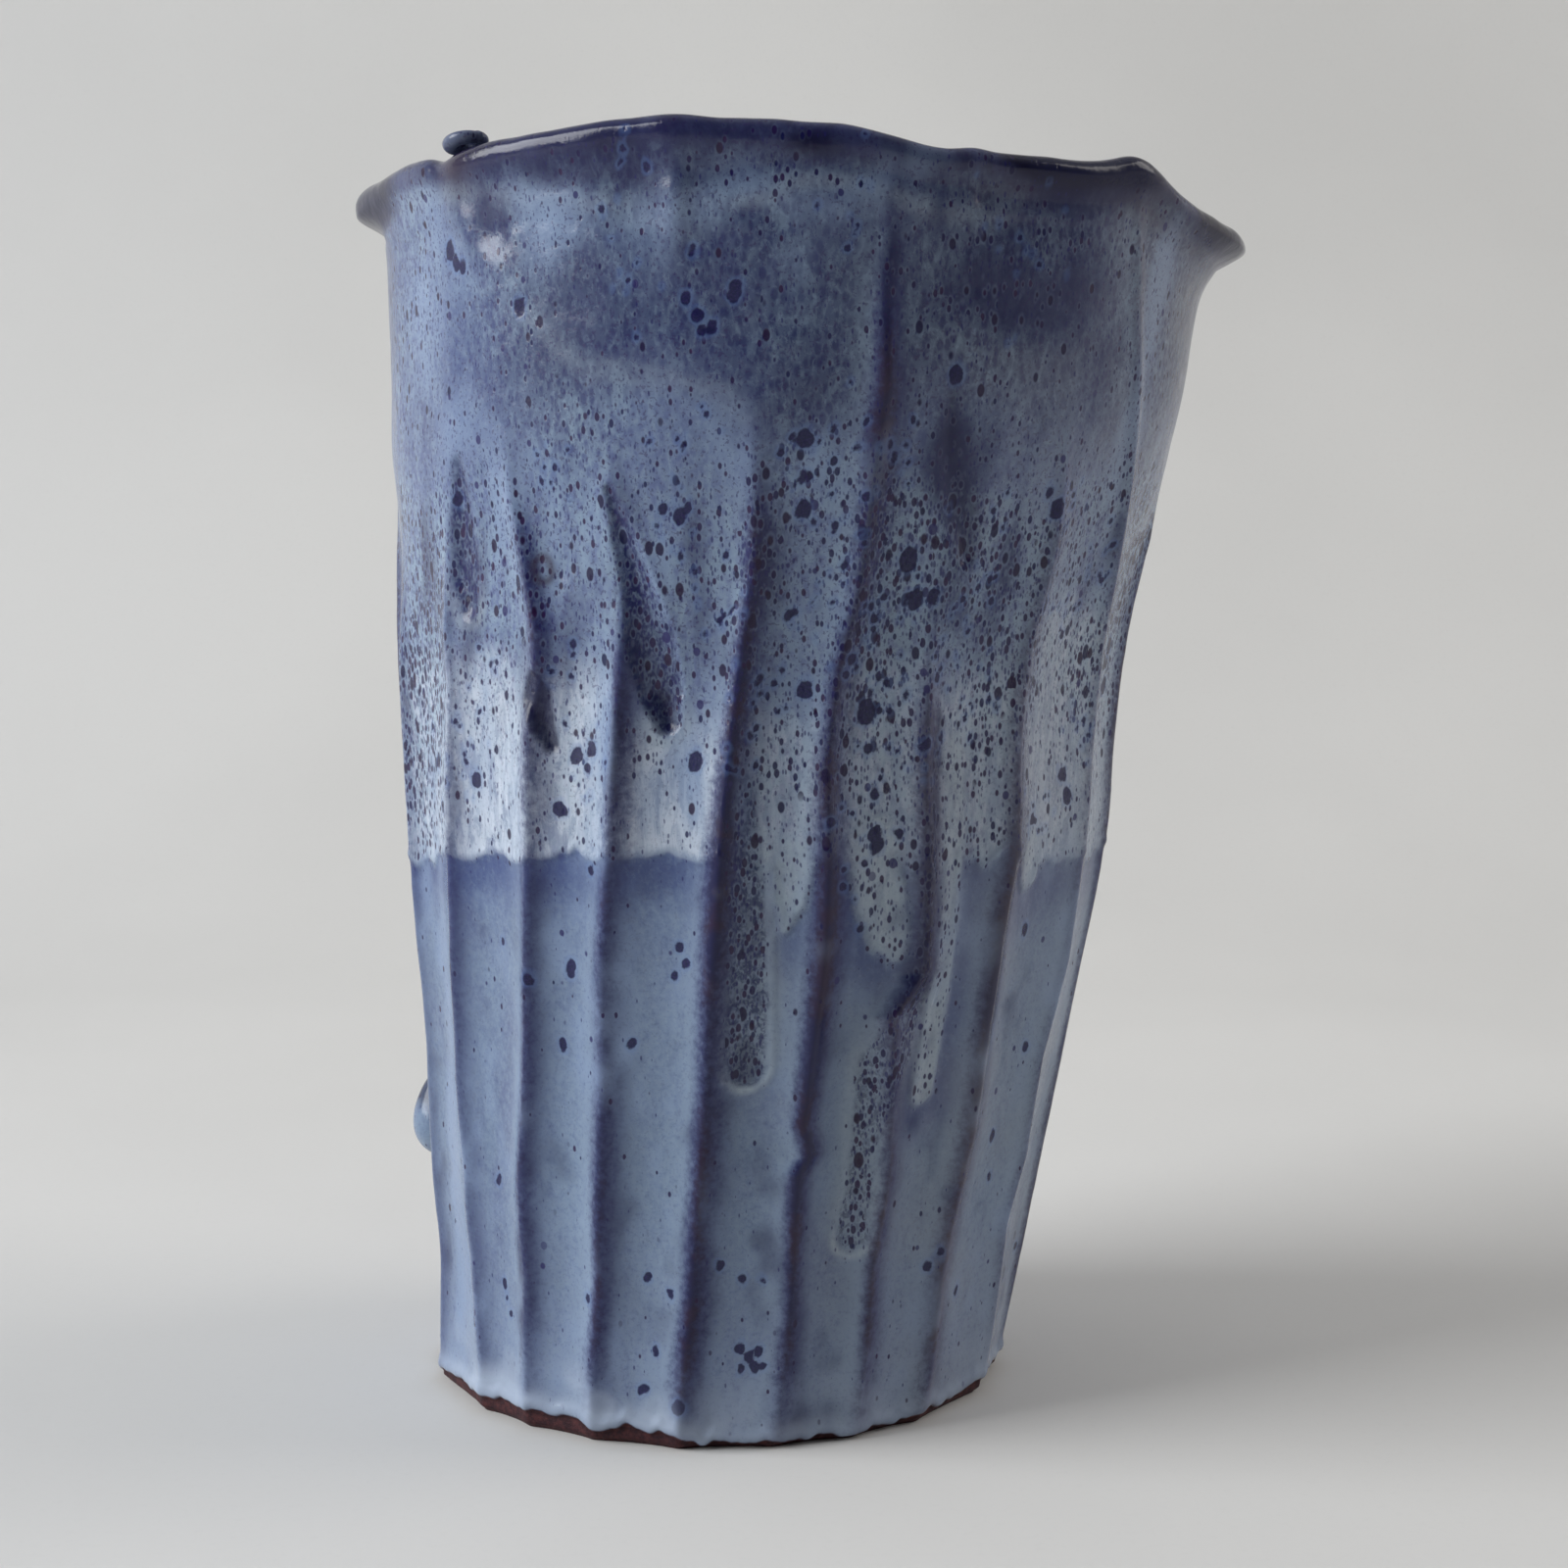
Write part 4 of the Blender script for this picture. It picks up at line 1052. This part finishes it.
# curled tab on the rim
tu = np.arange(0, 360, 6.0)
tv = np.arange(0, 360, 10.0)
TU, TV = np.meshgrid(tu, tv)
maj = 2.0 + 0.35 * (TU / 360.0)
mnr = 1.30 - 0.15 * np.cos(np.radians(TU))
lx = (maj + mnr * np.cos(np.radians(TV))) * np.cos(np.radians(TU)) * 1.15
ly = (maj + mnr * np.cos(np.radians(TV))) * np.sin(np.radians(TU)) * 0.92
lz = mnr * 0.82 * np.sin(np.radians(TV)) + 0.25 * np.cos(np.radians(TU - 30))
fa = math.radians(-49.5)
fr = 66.6
fc = np.array([14.2 + fr * math.sin(fa), -fr * math.cos(fa), 200.9])
ex = np.array([math.cos(fa), math.sin(fa), 0.10])
ey = np.array([-math.sin(fa) * -1 * 1.0, math.cos(fa) * -1 * 1.0, 0.0])
ez = np.array([0.12 * math.sin(fa), -0.12 * math.cos(fa), 1.0])
curlg = (fc + lx[..., None] * ex + ly[..., None] * ey + lz[..., None] * ez) * MM
cm = {k: np.zeros(curlg.shape[:2]) for k in NAMES}
cm["brown"] += 0.55
cm["tone"] += 0.66
cm["lip"] += 0.15
cm["high"] += 0.96
cm["dens"] += 0.2
curl = make_mesh("rim_curl", curlg[:, ::-1], cm, True, (MAT_GLAZE,))
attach(curl, "root")
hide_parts("rim_fold")

# rear lug: a tear-shaped lump, dark above and blue below
lug_deg, lug_z = -99.0, 41.0
vv = np.linspace(-89.5, 89.5, 41)
uu = np.arange(0, 360, 7.5)
UU, VV = np.meshgrid(uu, vv)
taper = 1.0 - 0.34 * np.sin(np.radians(VV))
la = math.radians(lug_deg)
lr = float(radius_z(lug_z)) - 0.4
tx = 5.2 * taper * np.cos(np.radians(VV)) * np.cos(np.radians(UU))
tn = 5.4 * taper * np.cos(np.radians(VV)) * np.sin(np.radians(UU))
tz = 7.6 * np.sin(np.radians(VV))
nx, ny = math.sin(la), -math.cos(la)
gx = float(lean_z(lug_z)) + (lr + tn) * nx + tx * math.cos(la) + 0.10 * tz * nx
gy = (lr + tn) * ny + tx * math.sin(la) + 0.10 * tz * ny
lugg = np.stack([gx * MM, gy * MM, (lug_z + tz) * MM], -1)
lm = {k: np.zeros(lugg.shape[:2]) for k in NAMES}
lm["high"] += 0.3
lm["dens"] += 0.15
lm["tone"] += 0.5
lm["ink"] += sstep(0.5, 4.0, tz) * 0.9
lm["pale"] += sstep(-2.0, -5.0, tz) * 0.3
lug = make_mesh("rear_lug_glazed", lugg, lm, True, (MAT_GLAZE,))
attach(lug, "root")
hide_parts("rear_lug")

# --------------------------------------------------- floor, light and camera
N = Nodes("paper_grey")
pn = N.noise(N.scaled(1, 1, 1), 0.004, 3, 0.5)
pf = N.noise(N.scaled(1, 1, 1), 0.6, 3, 0.6)
pcol = N.mix(N.step(pn, 0.3, 0.7), lin(214, 213, 211), lin(220, 219, 217))
pcol = N.mix(N.m("MULTIPLY", N.step(pf, 0.5, 0.8), 0.12), pcol, lin(200, 199, 198))
tcx = N.t.nodes.new("ShaderNodeSeparateXYZ")
N.t.links.new(N.obj, tcx.inputs[0])
pcol = N.mix(N.m("MULTIPLY", N.step(tcx.outputs[0], 0.1, -0.7), 0.55), pcol, lin(184, 184, 185))
N.put(N.bsdf.inputs["Base Color"], pcol)
N.bsdf.inputs["Roughness"].default_value = 0.9
N.bsdf.inputs["Specular IOR Level"].default_value = 0.15
sweep = []
ys = [-1.6, -0.6, 0.0, 0.35]
for y in ys:
    sweep.append((y, 0.0))
for i in range(1, 25):
    a = math.radians(90.0 * i / 24)
    sweep.append((0.35 + 0.45 * math.sin(a), 0.45 - 0.45 * math.cos(a)))
sweep += [(0.80, 1.0), (0.80, 2.2)]
verts, faces = [], []
for y, z in sweep:
    verts += [(-2.6, y, z), (2.6, y, z)]
for i in range(len(sweep) - 1):
    faces.append((2 * i, 2 * i + 1, 2 * i + 3, 2 * i + 2))
me = bpy.data.meshes.new("paper_sweep")
me.from_pydata(verts, [], faces)
me.polygons.foreach_set("use_smooth", [True] * len(faces))
me.materials.append(N.mat)
floor = bpy.data.objects.new("paper_sweep", me)
scene.collection.objects.link(floor)


def area(name, loc, target, size, power, color):
    ld = bpy.data.lights.new(name, "AREA")
    ld.shape = "RECTANGLE"
    ld.size, ld.size_y = size
    ld.energy = power
    ld.color = color
    ob = bpy.data.objects.new(name, ld)
    ob.location = loc
    ob.rotation_euler = (Vector(target) - Vector(loc)).to_track_quat("-Z", "Y").to_euler()
    scene.collection.objects.link(ob)
    return ob


area("window_left", (-2.0, -0.52, 1.02), (0.0, 0.0, 0.10), (1.5, 1.5), 58.0, (0.97, 0.99, 1.0))
area("window_right", (1.9, 0.35, 1.1), (0.0, 0.0, 0.12), (1.4, 1.5), 17.0, (1.0, 0.955, 0.91))
world = bpy.data.worlds.new("studio")
scene.world = world
world.use_nodes = True
wt = world.node_tree
bg = wt.nodes["Background"]
bg.inputs[0].default_value = (0.95, 0.97, 1.0, 1.0)
wc = wt.nodes.new("ShaderNodeTexCoord")
ws = wt.nodes.new("ShaderNodeSeparateXYZ")
wt.links.new(wc.outputs["Generated"], ws.inputs[0])
wm = wt.nodes.new("ShaderNodeMapRange")
wm.interpolation_type = "SMOOTHSTEP"
wm.inputs["From Min"].default_value = -0.9
wm.inputs["From Max"].default_value = 0.4
wm.inputs["To Min"].default_value = 0.05
wm.inputs["To Max"].default_value = 0.62
wt.links.new(ws.outputs["Y"], wm.inputs["Value"])
wt.links.new(wm.outputs["Result"], bg.inputs[1])

cd = bpy.data.cameras.new("view")
cd.sensor_width = 36.0
cd.lens = 2644.0 / 1600.0 * 36.0
cd.clip_start = 0.01
cd.clip_end = 20
cam = bpy.data.objects.new("view", cd)
cam.location = (11.4 * MM, -440 * MM, 142.3 * MM)
cam.rotation_euler = (math.radians(90.0) - math.atan(255.0 / 2644.0), 0, 0)
scene.collection.objects.link(cam)
scene.camera = cam
